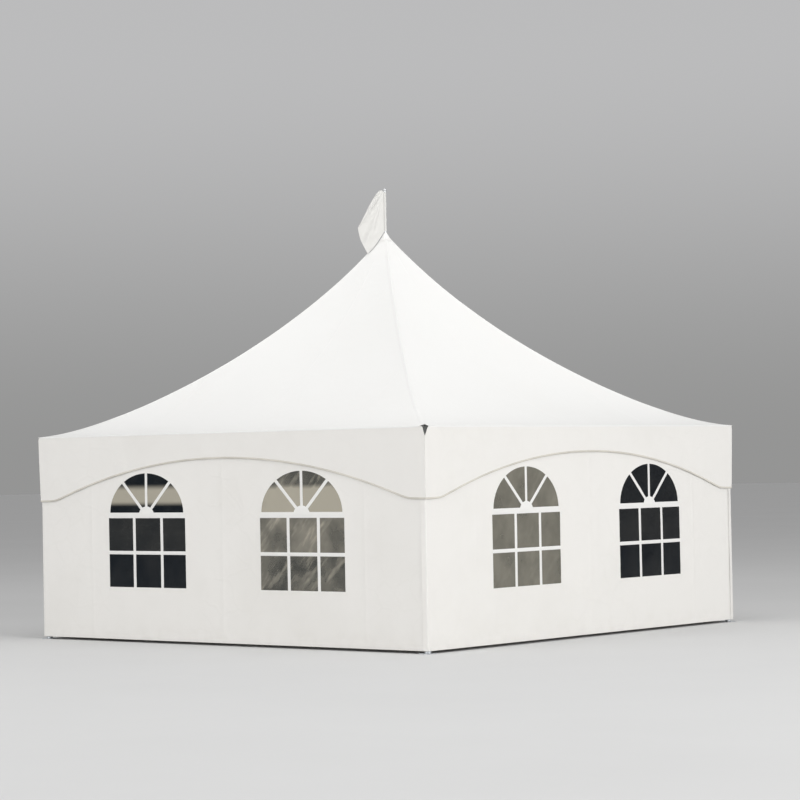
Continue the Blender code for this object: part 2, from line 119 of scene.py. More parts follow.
class Wire:
    """An output of a node that takes part in Python arithmetic, each operator as a Math node."""

    def __init__(self, nodes: "Nodes", socket: bpy.types.NodeSocket) -> None:
        """Wraps a socket of a tree."""
        self.nodes = nodes
        self.socket = socket

    def math(self, operation: str, *others: Term, swap: bool = False) -> "Wire":
        """A Math node on this value and others. With swap, this value comes last."""
        terms = [self, *others]
        if swap:
            terms.reverse()
        return self.nodes.add("ShaderNodeMath", dict(enumerate(terms)), {"operation": operation})

    def __add__(self, other: Term) -> "Wire":
        """The sum."""
        return self.math("ADD", other)

    __radd__ = __add__

    def __sub__(self, other: Term) -> "Wire":
        """The difference."""
        return self.math("SUBTRACT", other)

    def __rsub__(self, other: Term) -> "Wire":
        """The difference from a number."""
        return self.math("SUBTRACT", other, swap=True)

    def __mul__(self, other: Term) -> "Wire":
        """The product."""
        return self.math("MULTIPLY", other)

    __rmul__ = __mul__

    def __truediv__(self, other: Term) -> "Wire":
        """The quotient."""
        return self.math("DIVIDE", other)

    def __rtruediv__(self, other: Term) -> "Wire":
        """A number divided by this."""
        return self.math("DIVIDE", other, swap=True)

    def __pow__(self, other: Term) -> "Wire":
        """The power."""
        return self.math("POWER", other)

    def sine(self) -> "Wire":
        """The sine, of radians."""
        return self.math("SINE")

    def at_most(self, limit: Term) -> "Wire":
        """The lesser of this and a limit."""
        return self.math("MINIMUM", limit)

    def at_least(self, limit: Term) -> "Wire":
        """The greater of this and a limit."""
        return self.math("MAXIMUM", limit)


class Nodes:
    """A shader or geometry tree as it grows."""

    def __init__(self, tree: bpy.types.NodeTree) -> None:
        """Takes the tree to add to."""
        self.tree = tree

    def add(
        self,
        kind: str,
        values: dict[str | int, object] | None = None,
        settings: dict[str, object] | None = None,
        output: str | int = 0,
    ) -> Wire:
        """Adds one node.

        Args:
            kind: the node's type.
            values: the value, link or list of links for each of its sockets.
            settings: its own settings, which are set first.
            output: the output to return.

        Returns:
            That output.
        """
        node = self.tree.nodes.new(kind)
        for name, setting in (settings or {}).items():
            setattr(node, name, setting)
        for name, value in (values or {}).items():
            socket = node.inputs[name]
            for one in value if isinstance(value, list) else [value]:
                if isinstance(one, Wire):
                    self.tree.links.new(one.socket, socket)
                else:
                    socket.default_value = one
        return Wire(self, node.outputs[output])

    def place(self) -> Wire:
        """Where a point lies in the tent, in metres."""
        return self.add("ShaderNodeTexCoord", output="Object")

    def pattern(self) -> Wire:
        """Where a point lies on the unrolled cloth, in metres."""
        return self.add("ShaderNodeTexCoord", output="UV")

    def split(self, vector: Wire) -> tuple[Wire, Wire, Wire]:
        """The three parts of a vector."""
        first = self.add("ShaderNodeSeparateXYZ", {0: vector})
        node = first.socket.node
        return first, Wire(self, node.outputs[1]), Wire(self, node.outputs[2])

    def noise(self, place: Wire, scale: float, detail: float = 2.0, rough: float = 0.5) -> Wire:
        """Soft noise from 0 to 1, with a scale in cells a metre."""
        values = {"Vector": place, "Scale": scale, "Detail": detail, "Roughness": rough}
        return self.add("ShaderNodeTexNoise", values, output="Fac")

    def ramp(self, value: Wire, low: float, high: float, to: Pair = (0.0, 1.0)) -> Wire:
        """A smooth step between two numbers as a value goes from low to high."""
        values = {"Value": value, "From Min": low, "From Max": high, "To Min": to[0], "To Max": to[1]}
        return self.add("ShaderNodeMapRange", values, {"interpolation_type": "SMOOTHSTEP"})

    def patches(self, place: Wire, edge: Pair, scale: float, detail: float = 4.0, rough: float = 0.5) -> Wire:
        """Soft-edged patches from 0 to 1, where noise rises through a band of its values."""
        return self.ramp(self.noise(place, scale, detail, rough), *edge)

    def tint(self, factor: Wire, first: Sequence[float] | Wire, second: Sequence[float] | Wire) -> Wire:
        """A colour between two, by a factor."""
        ends = [end if isinstance(end, Wire) else (*end, 1.0) for end in (first, second)]
        return self.add("ShaderNodeMix", {0: factor, 6: ends[0], 7: ends[1]}, {"data_type": "RGBA"}, output=2)

    def bump(self, height: Wire) -> Wire:
        """A normal from a height in metres."""
        values = {"Height": height, "Distance": 1.0, "Strength": 1.0}
        return self.add("ShaderNodeBump", values, output="Normal")


Paint = dict[str, Wire | float]  # values of a shader's sockets by their names


def toned(colour: Sequence[float], share: float) -> Triple:
    """A colour with each part made darker or lighter by a share."""
    return tuple(part * share for part in colour)


# Finishes


@dataclass(frozen=True)
class Finish:
    """What every finish has: a name, a main colour and a roughness."""

    name: str
    colour: Triple
    roughness: float

    def paint(self, nodes: Nodes) -> Paint:
        """The values of the shader's sockets. Each finish has its own."""
        raise NotImplementedError

    def dress(self, nodes: Nodes, shader: Wire) -> Wire:
        """What the surface shows: the shader alone, unless a finish adds to it."""
        return shader

    def material(self) -> bpy.types.Material:
        """The finish as a material, made the first time that it is asked for."""
        found = bpy.data.materials.get(self.name)
        if found:
            return found
        made = bpy.data.materials.new(self.name)
        made.use_nodes = True
        nodes = Nodes(made.node_tree)
        shader = made.node_tree.nodes["Principled BSDF"]
        for name, value in self.paint(nodes).items():
            if isinstance(value, Wire):
                made.node_tree.links.new(value.socket, shader.inputs[name])
            else:
                shader.inputs[name].default_value = value
        surface = self.dress(nodes, Wire(nodes, shader.outputs["BSDF"]))
        made.node_tree.links.new(surface.socket, made.node_tree.nodes["Material Output"].inputs["Surface"])
        return made


@dataclass(frozen=True)
class CoatedCloth(Finish):
    """Vinyl-coated polyester: the scrim just shows, with soft crumples, faint bloom and grime, and a little
    painted shade along the crumples.
    """

    shade: Triple = (0.70, 0.68, 0.63)
    thread: float = 0.0014  # from one thread of the scrim to the next
    weave_depth: float = 0.00002
    crumple_depth: float = 0.0009
    crumples: float = 3.2  # cells a metre
    stray: float = 0.34  # how far the edges of those cells wander
    pillow_depth: float = 0.0016  # of the soft hollows between them
    bloom: float = 0.16  # share of the shade where bloom is thickest
    grime: float = 0.2
    splash: float = 0.30  # height up to which the ground's grime reaches
    gloss: float = 0.35
    through: float = 0.14  # share of the light that it lets through

    def dress(self, nodes: Nodes, shader: Wire) -> Wire:
        """Daylight shows through the cloth."""
        glow = nodes.add("ShaderNodeBsdfTranslucent", {"Color": (*self.colour, 1.0)})
        return nodes.add("ShaderNodeMixShader", {0: self.through, 1: shader, 2: glow})

    def paint(self, nodes: Nodes) -> Paint:
        """Colour, roughness and relief of the cloth, on its own pattern coordinates."""
        place = nodes.place()
        along, up, _ = nodes.split(nodes.pattern())
        turn = FULL_TURN / self.thread
        threads = (along * turn).sine() + (up * turn).sine()
        slow = {"Vector": place, "Scale": 2.3, "Detail": 2.0}
        moved = {0: nodes.add("ShaderNodeTexNoise", slow, output="Color"), 1: (self.stray,) * 3, 2: place}
        bent = nodes.add("ShaderNodeVectorMath", moved, {"operation": "MULTIPLY_ADD"})
        cells = {"Vector": bent, "Scale": self.crumples}
        edge = nodes.add("ShaderNodeTexVoronoi", cells, {"feature": "DISTANCE_TO_EDGE"})
        ridge = nodes.ramp(edge, 0.0, 0.10, (1.0, 0.0)) * nodes.patches(place, (0.40, 0.68), 1.1, 3.0)
        relief = threads * self.weave_depth + ridge * self.crumple_depth
        low = nodes.ramp(nodes.split(place)[2], 0.02, self.splash, (1.0, 0.0))
        bloom = nodes.patches(place, (0.42, 0.72), 0.9, rough=0.6) * self.bloom
        # Bloom and grime are the cloth's own; the crumple ridges add a little painted shade in the creases.
        wear_and_crease_shade = bloom + low * nodes.patches(place, (0.35, 0.75), 9.0) * self.grime + ridge * 0.05
        return {
            "Base Color": nodes.tint(wear_and_crease_shade, self.colour, self.shade),
            "Roughness": self.roughness + nodes.noise(place, 14.0, 3.0) * 0.14 + ridge * 0.05,
            "Normal": nodes.bump(relief + nodes.noise(place, 6.5) * self.pillow_depth),
            "Specular IOR Level": self.gloss,
        }


@dataclass(frozen=True)
class WovenTape(Finish):
    """Sewn binding tape with a ribbed weave across it."""

    rib: float = 0.0016

    def paint(self, nodes: Nodes) -> Paint:
        """Colour, roughness and ribs of the tape."""
        place = nodes.place()
        across, along, _ = nodes.split(nodes.pattern())
        turn = FULL_TURN / self.rib
        ribs = (along * turn).sine() * 0.00006 + (across * turn * 2).sine() * 0.00002
        age = nodes.patches(place, (0.35, 0.70), 3.0)
        return {
            "Base Color": nodes.tint(age * 0.7, self.colour, toned(self.colour, 0.80)),
            "Roughness": self.roughness + nodes.noise(place, 40.0) * 0.12,
            "Normal": nodes.bump(ribs),
        }


@dataclass(frozen=True)
class ClearFilm(Finish):
    """Clear window vinyl, faintly rippled and scuffed. Its uneven haze is partly real clouding and partly
    painted reflection; the paler fan and upper row and the slanting streaks are painted reflection and
    painted highlight, and a near-black tint under a high veil is painted shade of the room behind.
    """

    veil: float = 0.42  # how much it hides; high under a near-black tint, as painted shade of the room behind
    # colour of the real clouding and of the painted reflection
    haze_and_reflection_colour: Triple = (0.42, 0.39, 0.32)
    haze_and_reflection: float = 0.05  # share of that colour where the haze is thickest: partly real clouding, partly painted reflection
    fan: Pair = (1.50, 1.85)  # heights between which the fan gets a painted reflection
    paler: float = 0.0  # how strong that painted reflection is
    row: Pair = (1.06, 1.50)  # heights of the upper row of panes, which gets a painted reflection too
    row_paler: float = 0.0
    painted_streak_highlights: float = 0.0  # strength of the slanting streaks of painted highlight
    slant: float = 0.85  # of the streaks, in radians
    scuffs: float = 0.10
    ripple: float = 0.0022
    gloss: float = 0.35

    def paint(self, nodes: Nodes) -> Paint:
        """Colour, veil and ripples of the film; colour and veil carry painted reflection and painted shade.
        """
        place = nodes.place()
        height = nodes.split(place)[2]
        turn = {"Vector": nodes.pattern(), "Rotation": (0.0, 0.0, self.slant), "Scale": (3.4, 1.0, 1.0)}
        slanted = nodes.add("ShaderNodeMapping", turn, {"vector_type": "TEXTURE"})
        broad = nodes.patches(place, (0.30, 0.70), 2.6, 3.0, 0.55)
        painted_streak = nodes.patches(slanted, (0.48, 0.74), 7.0, 3.0, 0.6)
        scuff = nodes.patches(place, (0.58, 0.80), 38.0, 5.0, 0.7)
        # The broad haze is partly real clouding; the streaks and the paler fan and row are painted
        # reflection.
        haze_and_painted_reflection = broad * self.haze_and_reflection + painted_streak * self.painted_streak_highlights + scuff * self.scuffs
        for (low, high), paler in ((self.fan, self.paler), (self.row, self.row_paler)):
            above = nodes.ramp(height, low - 0.04, low + 0.03)
            haze_and_painted_reflection = haze_and_painted_reflection + above * nodes.ramp(height, high - 0.04, high + 0.05, (1.0, 0.0)) * paler
        haze_and_painted_reflection = haze_and_painted_reflection.at_most(1.0)
        return {
            "Base Color": nodes.tint(haze_and_painted_reflection, self.colour, self.haze_and_reflection_colour),
            "Roughness": self.roughness + scuff * 0.22 + broad * 0.06,
            "Alpha": self.veil + haze_and_painted_reflection * 0.22,
            "Normal": nodes.bump(nodes.noise(place, 9.0, 1.0) * self.ripple),
            "IOR": 1.50,
            "Specular IOR Level": self.gloss,
        }


@dataclass(frozen=True)
class DrawnMetal(Finish):
    """Drawn tube and rail: fine lines along it, dulled by handling."""

    along: Triple = (0.02, 1.0, 1.0)  # how dense the lines are each way
    fineness: float = 420.0  # lines a metre
    line_depth: float = 0.00004

    def paint(self, nodes: Nodes) -> Paint:
        """Colour, roughness and lines of the metal."""
        place = nodes.place()
        drawn = nodes.add("ShaderNodeMapping", {"Vector": place, "Scale": self.along})
        scratches = nodes.noise(drawn, self.fineness, 3.0)
        dull = nodes.patches(place, (0.40, 0.70), 5.0, 5.0, 0.65)
        return {
            "Base Color": nodes.tint(dull * 0.6, self.colour, toned(self.colour, 0.72)),
            "Roughness": self.roughness + scratches * 0.12 + dull * 0.12,
            "Metallic": 0.92,
            "Normal": nodes.bump(scratches * self.line_depth),
        }


@dataclass(frozen=True)
class ZincCoat(Finish):
    """Hot-dipped zinc: spangled, with white bloom in the hollows of its coat."""

    spangle: float = 95.0  # flakes a metre

    def paint(self, nodes: Nodes) -> Paint:
        """Colour, roughness and spangle of the coat."""
        place = nodes.place()
        flakes = nodes.add("ShaderNodeTexVoronoi", {"Vector": place, "Scale": self.spangle}, output="Color")
        flake = nodes.split(flakes)[0]
        bloom = nodes.patches(place, (0.48, 0.74), 11.0, 5.0, 0.7)
        pale = tuple(0.45 + part for part in toned(self.colour, 0.35))
        metal = nodes.tint(flake, self.colour, toned(self.colour, 1.25))
        return {
            "Base Color": nodes.tint(bloom * 0.6, metal, pale),
            "Roughness": self.roughness + flake * 0.14 + bloom * 0.22,
            "Metallic": 0.9 - bloom * 0.5,
            "Normal": nodes.bump(flake * 0.00005 + nodes.noise(place, 60.0, 3.0) * 0.0002),
        }


@dataclass(frozen=True)
class CastPaint(Finish):
    """Painted casting: a sandy skin, with the paint rubbed to bare metal on its high spots."""

    bare: Triple = (0.30, 0.30, 0.30)
    sand: float = 0.0004  # depth of its grain

    def paint(self, nodes: Nodes) -> Paint:
        """Colour, roughness and grain of the casting."""
        place = nodes.place()
        grain = nodes.noise(place, 260.0, 4.0, 0.6)
        rubbed = nodes.patches(place, (0.66, 0.74), 24.0, 6.0, 0.72)
        return {
            "Base Color": nodes.tint(rubbed * 0.7, self.colour, self.bare),
            "Roughness": self.roughness + grain * 0.18 - rubbed * 0.15,
            "Metallic": 0.25 + rubbed * 0.6,
            "Normal": nodes.bump(grain * self.sand - rubbed * 0.0001),
        }


@dataclass(frozen=True)
class LaidWire(Finish):
    """Steel wire rope that runs at a heading: its strands wind round it."""

    heading: float = 0.0  # of the cable in plan, radians
    slope: float = 0.0  # of the cable above level, radians
    start: Triple = (0.0, 0.0, 0.0)
    lay: float = 0.055  # length in which a strand goes once round
    strands: int = 6
    groove_depth: float = 0.0007

    def paint(self, nodes: Nodes) -> Paint:
        """Colour, roughness and strands of the rope."""
        turn = {"Vector": nodes.place(), "Location": self.start, "Rotation": (0.0, -self.slope, self.heading)}
        along, beside, above = nodes.split(nodes.add("ShaderNodeMapping", turn, {"vector_type": "TEXTURE"}))
        angle = above.math("ARCTAN2", beside)
        wave = (angle * self.strands + along * (FULL_TURN * self.strands / self.lay)).sine()
        groove = nodes.ramp(wave, -1.0, -0.2, (1.0, 0.0))
        return {
            # The grooves between the strands are darkened in colour: painted shade.
            "Base Color": nodes.tint(groove * 0.8, self.colour, toned(self.colour, 0.35)),
            "Roughness": self.roughness + groove * 0.3,
            "Metallic": 0.95,
            "Normal": nodes.bump((1 - groove) * self.groove_depth),
        }


@dataclass(frozen=True)
class PaleGround(Finish):
    """The plain pale floor of the studio."""

    def paint(self, nodes: Nodes) -> Paint:
        """A faintly uneven plain colour."""
        place = nodes.place()
        return {
            "Base Color": nodes.tint(nodes.noise(place, 0.35, 4.0), self.colour, toned(self.colour, 0.94)),
            "Roughness": self.roughness + nodes.noise(place, 3.0) * 0.1,
        }


ROOF_CLOTH = CoatedCloth("roof_cloth", (0.885, 0.882, 0.865), 0.40, shade=(0.83, 0.82, 0.79), splash=0.05)
WALL_CLOTH = CoatedCloth("wall_cloth", (0.862, 0.846, 0.815), 0.42)
TRIM_CLOTH = CoatedCloth("trim_cloth", (0.870, 0.862, 0.842), 0.42, crumple_depth=0.0)
# The flag is white cloth; its colour is set greyer so that it reads dimmer than the roof: painted shade.
PENNANT_CLOTH = CoatedCloth(
    "pennant_cloth", (0.70, 0.692, 0.668), 0.62, shade=(0.73, 0.72, 0.69), thread=0.0009, weave_depth=0.00003,
    crumple_depth=0.0004, crumples=9.0, splash=0.05, gloss=0.25,
)
BINDING = WovenTape("valance_binding", (0.62, 0.59, 0.53), 0.72)
THREAD = WovenTape("sewing_thread", (0.80, 0.79, 0.75), 0.60)
# Window films: a near-black tint under a high veil is painted shade of the room behind; the pale fan, the
# paler upper row and the slanting streaks are painted reflection, and the haze is partly real clouding,
# partly painted reflection.
PAINTED_SHADE_FILM_REFLECTED_FAN = ClearFilm(
    "dark_film_pale_fan", (0.004, 0.007, 0.011), 0.09, veil=0.92, haze_and_reflection=0.025,
    fan=(1.64, 1.825), paler=0.86, row_paler=0.035, gloss=0.17,
)
PAINTED_SHADE_FILM = ClearFilm(
    "painted_shade_film", (0.004, 0.006, 0.009), 0.09, veil=0.92, haze_and_reflection=0.02, row_paler=0.018, gloss=0.17
)
HAZE_AND_REFLECTION_FILM_REFLECTED_FAN = ClearFilm(
    "hazy_film_pale_fan", (0.044, 0.048, 0.046), 0.13, veil=0.66, haze_and_reflection=0.34,
    fan=(1.50, 1.81), paler=0.95, row_paler=0.24, painted_streak_highlights=0.52,
)
HAZE_AND_REFLECTION_FILM = ClearFilm("haze_and_reflection_film", (0.165, 0.158, 0.130), 0.13, veil=0.70, haze_and_reflection=0.24, painted_streak_highlights=0.10)
RAIL_METAL = DrawnMetal("drawn_aluminium_level", (0.70, 0.71, 0.72), 0.28)
SIDE_RAIL_METAL = DrawnMetal("drawn_aluminium_side", (0.70, 0.71, 0.72), 0.28, along=(1.0, 0.02, 1.0))
LEG_METAL = DrawnMetal("drawn_aluminium_upright", (0.70, 0.71, 0.72), 0.28, along=(1.0, 1.0, 0.02))
ZINC = ZincCoat("zinc_coat", (0.50, 0.52, 0.54), 0.34)
CASTING = CastPaint("painted_casting", (0.085, 0.088, 0.085), 0.45)
FLOOR = PaleGround("pale_floor", (0.62, 0.62, 0.615), 0.8)


# Meshes


@dataclass
class Shape:
    """Points, faces and pattern coordinates of a mesh as it grows. Several closed skins may be in one."""

    points: list[Sequence[float]] = field(default_factory=list)
    faces: list[Face] = field(default_factory=list)
    pattern: list[Pair] = field(default_factory=list)  # one for each corner of each face

    def sweep(self, rings: Array, cyclic: bool = False) -> None:
        """Adds a closed skin through rings of points.

        Args:
            rings: the rings, each of the same number of points.
            cyclic: whether the last ring joins the first.
        """
        start, (count, size) = len(self.points), rings.shape[:2]
        self.points.extend(rings.reshape(-1, 3).tolist())
        steps = np.linalg.norm(np.diff(rings.mean(axis=1), axis=0), axis=1)
        reach = [0.0, *np.cumsum(steps).tolist()]
        edge = np.linalg.norm(np.diff(rings[0], axis=0, append=rings[0][:1]), axis=1)
        round_it = [0.0, *np.cumsum(edge).tolist()]
        for ring in range(count if cyclic else count - 1):
            low, high = start + ring * size, start + (ring + 1) % count * size
            near = reach[ring]
            far = reach[ring + 1] if ring + 1 < count else near + reach[1]
            for one in range(size):
                two = (one + 1) % size
                self.faces.append((low + one, low + two, high + two, high + one))
                first, second = round_it[one], round_it[one + 1]
                self.pattern.extend([(first, near), (second, near), (second, far), (first, far)])
        if not cyclic:
            for ring, order in ((0, range(size - 1, -1, -1)), (count - 1, range(size))):
                self.faces.append(tuple(start + ring * size + one for one in order))
                self.pattern.extend([(round_it[one], reach[ring]) for one in order])

    def build(self, name: str, closed: bool = True, turn: Matrix | None = None) -> Object:
        """The shape as an object.

        Args:
            name: the object's name.
            closed: whether its skins are closed, so that they are made to face out.
            turn: a turn of the whole shape about the tent's axis.

        Returns:
            The object, at the origin.
        """
        mesh = bpy.data.meshes.new(name)
        mesh.from_pydata(self.points, [], self.faces)
        layer = mesh.uv_layers.new(name="pattern")
        layer.data.foreach_set("uv", np.array(self.pattern, np.float32).ravel())
        if closed:
            work = bmesh.new()
            work.from_mesh(mesh)
            bmesh.ops.recalc_face_normals(work, faces=work.faces)
            work.to_mesh(mesh)
            work.free()
        if turn is not None:
            mesh.transform(turn)
        smooth(mesh)
        return linked(name, mesh)


def smooth(mesh: Mesh) -> None:
    """Shades a mesh smooth but for its sharp edges."""
    mesh.shade_smooth()
    mesh.set_sharp_from_angle(angle=SHARP_ANGLE)


def linked(name: str, data: bpy.types.ID) -> Object:
    """A new object for a mesh, a light or a camera, in the scene."""
    obj = bpy.data.objects.new(name, data)
    bpy.context.scene.collection.objects.link(obj)
    return obj


def settle(obj: Object) -> None:
    """Turns what an object's modifiers make into its plain mesh."""
    graph = bpy.context.evaluated_depsgraph_get()
    made = bpy.data.meshes.new_from_object(obj.evaluated_get(graph))
    old = obj.data
    obj.modifiers.clear()
    obj.data = made
    bpy.data.meshes.remove(old)
    made.name = obj.name
    smooth(made)


def thicken(obj: Object, thickness: float) -> None:
    """Gives an open sheet its thickness, inwards from its outer face."""
    step = obj.modifiers.new("thickness", "SOLIDIFY")
    step.thickness = thickness
    step.offset = -1
    settle(obj)


def sheet_piece(
    name: str,
    points: Array,
    faces: list[Face],
    pattern: Array,
    thickness: float,
    turn: Matrix | None = None,
) -> Object:
    """A cloth or a film from its outer face.

    Args:
        name: the piece's name.
        points: points of its outer face.
        faces: their faces, anticlockwise from outside.
        pattern: where each point lies on the unrolled cloth.
        thickness: its thickness, which goes inwards.
        turn: a turn of the whole piece about the tent's axis.

    Returns:
        The piece.
    """
    flat = pattern.tolist()
    shape = Shape(points.tolist(), faces, [flat[corner] for face in faces for corner in face])
    obj = shape.build(name, closed=False, turn=turn)
    thicken(obj, thickness)
    return obj


def grid_faces(rows: int, columns: int, downwards: bool) -> list[Face]:
    """The faces of a grid of points that lie row by row, with the first edge of each down or along."""
    wide = columns + 1
    steps = (0, wide, wide + 1, 1) if downwards else (0, 1, wide + 1, wide)
    starts = [row * wide + column for row in range(rows) for column in range(columns)]
    return [tuple(start + step for step in steps) for start in starts]


def loop_edges(count: int, start: int = 0) -> list[tuple[int, int]]:
    """The edges of a closed loop of points."""
    return [(start + one, start + (one + 1) % count) for one in range(count)]


def triangles(places: Points, edges: list[tuple[int, int]]) -> tuple[Array, list[Face]]:
    """Triangles between places in a plane: their points and faces, with the given edges among theirs."""
    found = delaunay_2d_cdt([Vector(place) for place in places], edges, [], 1, 1e-6, False)
    return np.array(found[0]), [tuple(face) for face in found[2]]


def circle(count: int) -> Array:
    """Even angles once round."""
    return np.linspace(0, FULL_TURN, count + 1)[:-1]


def around(radius: Array | float, angle: Array | float, height: Array | float) -> Array:
    """Points round the axis: any of the three may be one number for all."""
    return np.stack(np.broadcast_arrays(radius * np.cos(angle), radius * np.sin(angle), height), axis=1)


def finish_piece(
    obj: Object, finish: Finish, slot: Slot, replaces: Sequence[str] = ()
) -> Object:
    """Dresses a piece, puts it on the tent's body and hides the frame's nodes that it stands for.

    Args:
        obj: the piece.
        finish: its finish.
        slot: the material slot that it belongs to; not used.
        replaces: the frame's nodes that it stands for.

    Returns:
        The piece.
    """
    obj.data.materials.clear()
    obj.data.materials.append(finish.material())
    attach(obj, "root")
    if replaces:
        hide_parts(*replaces)
    surface = sum(face.area for face in obj.data.polygons)
    LOG.info("%s: %d faces, %.4f square metres of surface", obj.name, len(obj.data.polygons), surface)
    return obj


def ease(value: Array, low: float, high: float) -> Array:
    """A smooth step from 0 to 1 as a value goes from low to high."""
    share = np.clip((value - low) / (high - low), 0.0, 1.0)
    return share * share * (3 - 2 * share)


@dataclass(frozen=True)
class Waves:
    """Soft waves that stay in a hanging or stretched cloth, the same each time for a seed."""

    seed: int
    count: int
    depth: float
    lengths: Pair  # shortest and longest
    lean: Triple = (1.0, 1.0, 1.0)  # how much the waves run each way
    bend: Triple = (1.9, 2.3, 2.7)  # radians a metre each way, of the slow bend that they share

    def over(self, along: Array, height: Array) -> Array:
        """How far places on an upright cloth stand out."""
        return self.at(np.stack([along, np.zeros(len(along)), height], axis=1))

    def at(self, points: Array) -> Array:
        """How far the cloth stands out at each point, in metres."""
        draw = np.random.default_rng(self.seed)
        total = np.zeros(len(points))
        bend = 0.10 * np.sin(points @ np.array(self.bend) + self.seed)
        for _ in range(self.count):
            way = draw.normal(size=3) * self.lean
            way /= np.linalg.norm(way)
            length = draw.uniform(*self.lengths)
            phase, other, weight = draw.uniform(0, FULL_TURN, 2).tolist() + [draw.uniform(0.4, 1.0)]
            across = np.roll(way, 1)
            turn = FULL_TURN * (points @ way + bend) / length + phase
            swell = 0.5 + 0.5 * np.sin(FULL_TURN * (points @ across) / (length * 2.7) + other)
            total += weight * swell * np.sin(turn)
        return self.depth * total / math.sqrt(self.count)


@dataclass(frozen=True)
class Creases:
    """Creases that folding for storage leaves in a cloth, along two sets of lines."""

    pitch: Pair
    shift: Pair
    depth: float
    width: float = 0.020

    def at(self, across: Array, up: Array) -> Array:
        """How far each place stands out, by its two coordinates on the cloth."""
        total = np.zeros(len(across))
        for value, other, pitch, shift in zip((across, up), (up, across), self.pitch, self.shift):
            line = np.round((value - shift) / pitch)
            near = np.abs(value - shift - line * pitch)
            sign = np.where(line % 2 == 0, 1.0, -1.0)
            fade = 0.55 + 0.45 * np.sin(other * 2.1 + line * 1.7)
            total += sign * fade * np.exp(-near / self.width)
        return self.depth * total


class Drape:
    """A cloth's outer face, on which strips are laid."""

    def __init__(self, points: Array, faces: Sequence[Face], towards: Sequence[float]) -> None:
        """Takes the face and the way in which things are pressed on to it."""
        self.tree = BVHTree.FromPolygons([Vector(point) for point in points], faces)
        self.towards = Vector(towards)

    def lay(self, points: Array) -> tuple[Array, Array]:
        """Presses places on to the face: where they meet it, and its outward normals there."""
        found, normals = zip(*(self.press(Vector(point)) for point in points))
        return np.array(found), np.array(normals)

    def press(self, point: Vector) -> tuple[Vector, Vector]:
        """Presses one place on to the face: a ray that slips between two faces goes again, a hair beside."""
        for beside in (0.0, 0.0002, -0.0002):
            start = point - self.towards + Vector((beside, 0.0, 0.0))
            place, normal, _, _ = self.tree.ray_cast(start, self.towards)
            if place is not None:
                return place, normal if normal.dot(self.towards) < 0 else -normal
        raise ValueError(f"there is no cloth at {point}")

    def strip(self, shape: Shape, line: Array, beside: Array, width: float, proud: float) -> None:
        """Lays a flat strip along a line.

        Args:
            shape: the shape to add it to.
            line: points along the strip's middle.
            beside: the way across it, at each point or for all.
            width: its width.
            proud: how far it stands over the cloth.
        """
        half, edge, sunk = width / 2, min(0.0015, width / 8), 0.0004
        rows, heights = (-half, edge - half, 0.0, half - edge, half), (0.0, proud, proud, proud, 0.0)
        tops, lows = [], []
        for offset, height in zip(rows, heights):
            place, normal = self.lay(line + beside * offset)
            tops.append(place + normal * height)
            lows.append(place - normal * sunk)
        shape.sweep(np.stack(tops + lows[::-1], axis=1))


# Geometry Nodes


class Recipe:
    """A Geometry Nodes tree with named inputs, whose result becomes a plain mesh."""

    def __init__(self, name: str, inputs: dict[str, str]) -> None:
        """Makes the tree and its inputs, each with its kind of socket."""
        self.tree = bpy.data.node_groups.new(name, "GeometryNodeTree")
        self.nodes = Nodes(self.tree)
        self.keys: dict[str, str] = {}
        for label, kind in {**inputs, "Finish": "Material"}.items():
            socket = self.tree.interface.new_socket(label, in_out="INPUT", socket_type=f"NodeSocket{kind}")
            self.keys[label] = socket.identifier
        self.tree.interface.new_socket("Result", in_out="OUTPUT", socket_type="NodeSocketGeometry")
        self.entry = self.tree.nodes.new("NodeGroupInput")

    def given(self, label: str) -> Wire:
        """One of the tree's inputs."""
        return Wire(self.nodes, self.entry.outputs[label])

    def end(self, geometry: Wire) -> None:
        """Ends the tree: instances made real, and the finish set."""
        real = self.nodes.add("GeometryNodeRealizeInstances", {0: geometry})
        values = {"Geometry": real, "Material": self.given("Finish")}
        dressed = self.nodes.add("GeometryNodeSetMaterial", values)
        out = self.tree.nodes.new("NodeGroupOutput")
        self.tree.links.new(dressed.socket, out.inputs[0])

    def make(self, name: str, base: Mesh, values: dict[str, object]) -> Object:
        """Runs the tree on a mesh.

        Args:
            name: the new piece's name.
            base: the mesh that it starts from.
            values: a value for each named input.

        Returns:
            The piece, with a plain mesh.
        """
        obj = linked(name, base)
        step = obj.modifiers.new(name, "NODES")
        step.node_group = self.tree
        for label, value in values.items():
            step[self.keys[label]] = value
        settle(obj)
        return obj


def stitch_recipe() -> Recipe:
    """Stitches along every line of a mesh of edges."""
    recipe = Recipe("stitches", {"Lines": "Geometry", "Pitch": "Float", "Stitch": "Vector"})
    nodes = recipe.nodes
    curve = nodes.add("GeometryNodeMeshToCurve", {"Mesh": recipe.given("Lines")})
    length = {"Curve": curve, "Length": recipe.given("Pitch")}
    spaced = nodes.add("GeometryNodeResampleCurve", length, {"mode": "LENGTH"})
    grain = nodes.add("GeometryNodeMeshIcoSphere", {"Radius": 0.5, "Subdivisions": 1})
    tangent = nodes.add("GeometryNodeInputTangent")
    turn = nodes.add("FunctionNodeAlignRotationToVector", {"Vector": tangent}, {"axis": "X"})
    values = {"Points": spaced, "Instance": grain, "Rotation": turn, "Scale": recipe.given("Stitch")}
    recipe.end(nodes.add("GeometryNodeInstanceOnPoints", values))
    return recipe


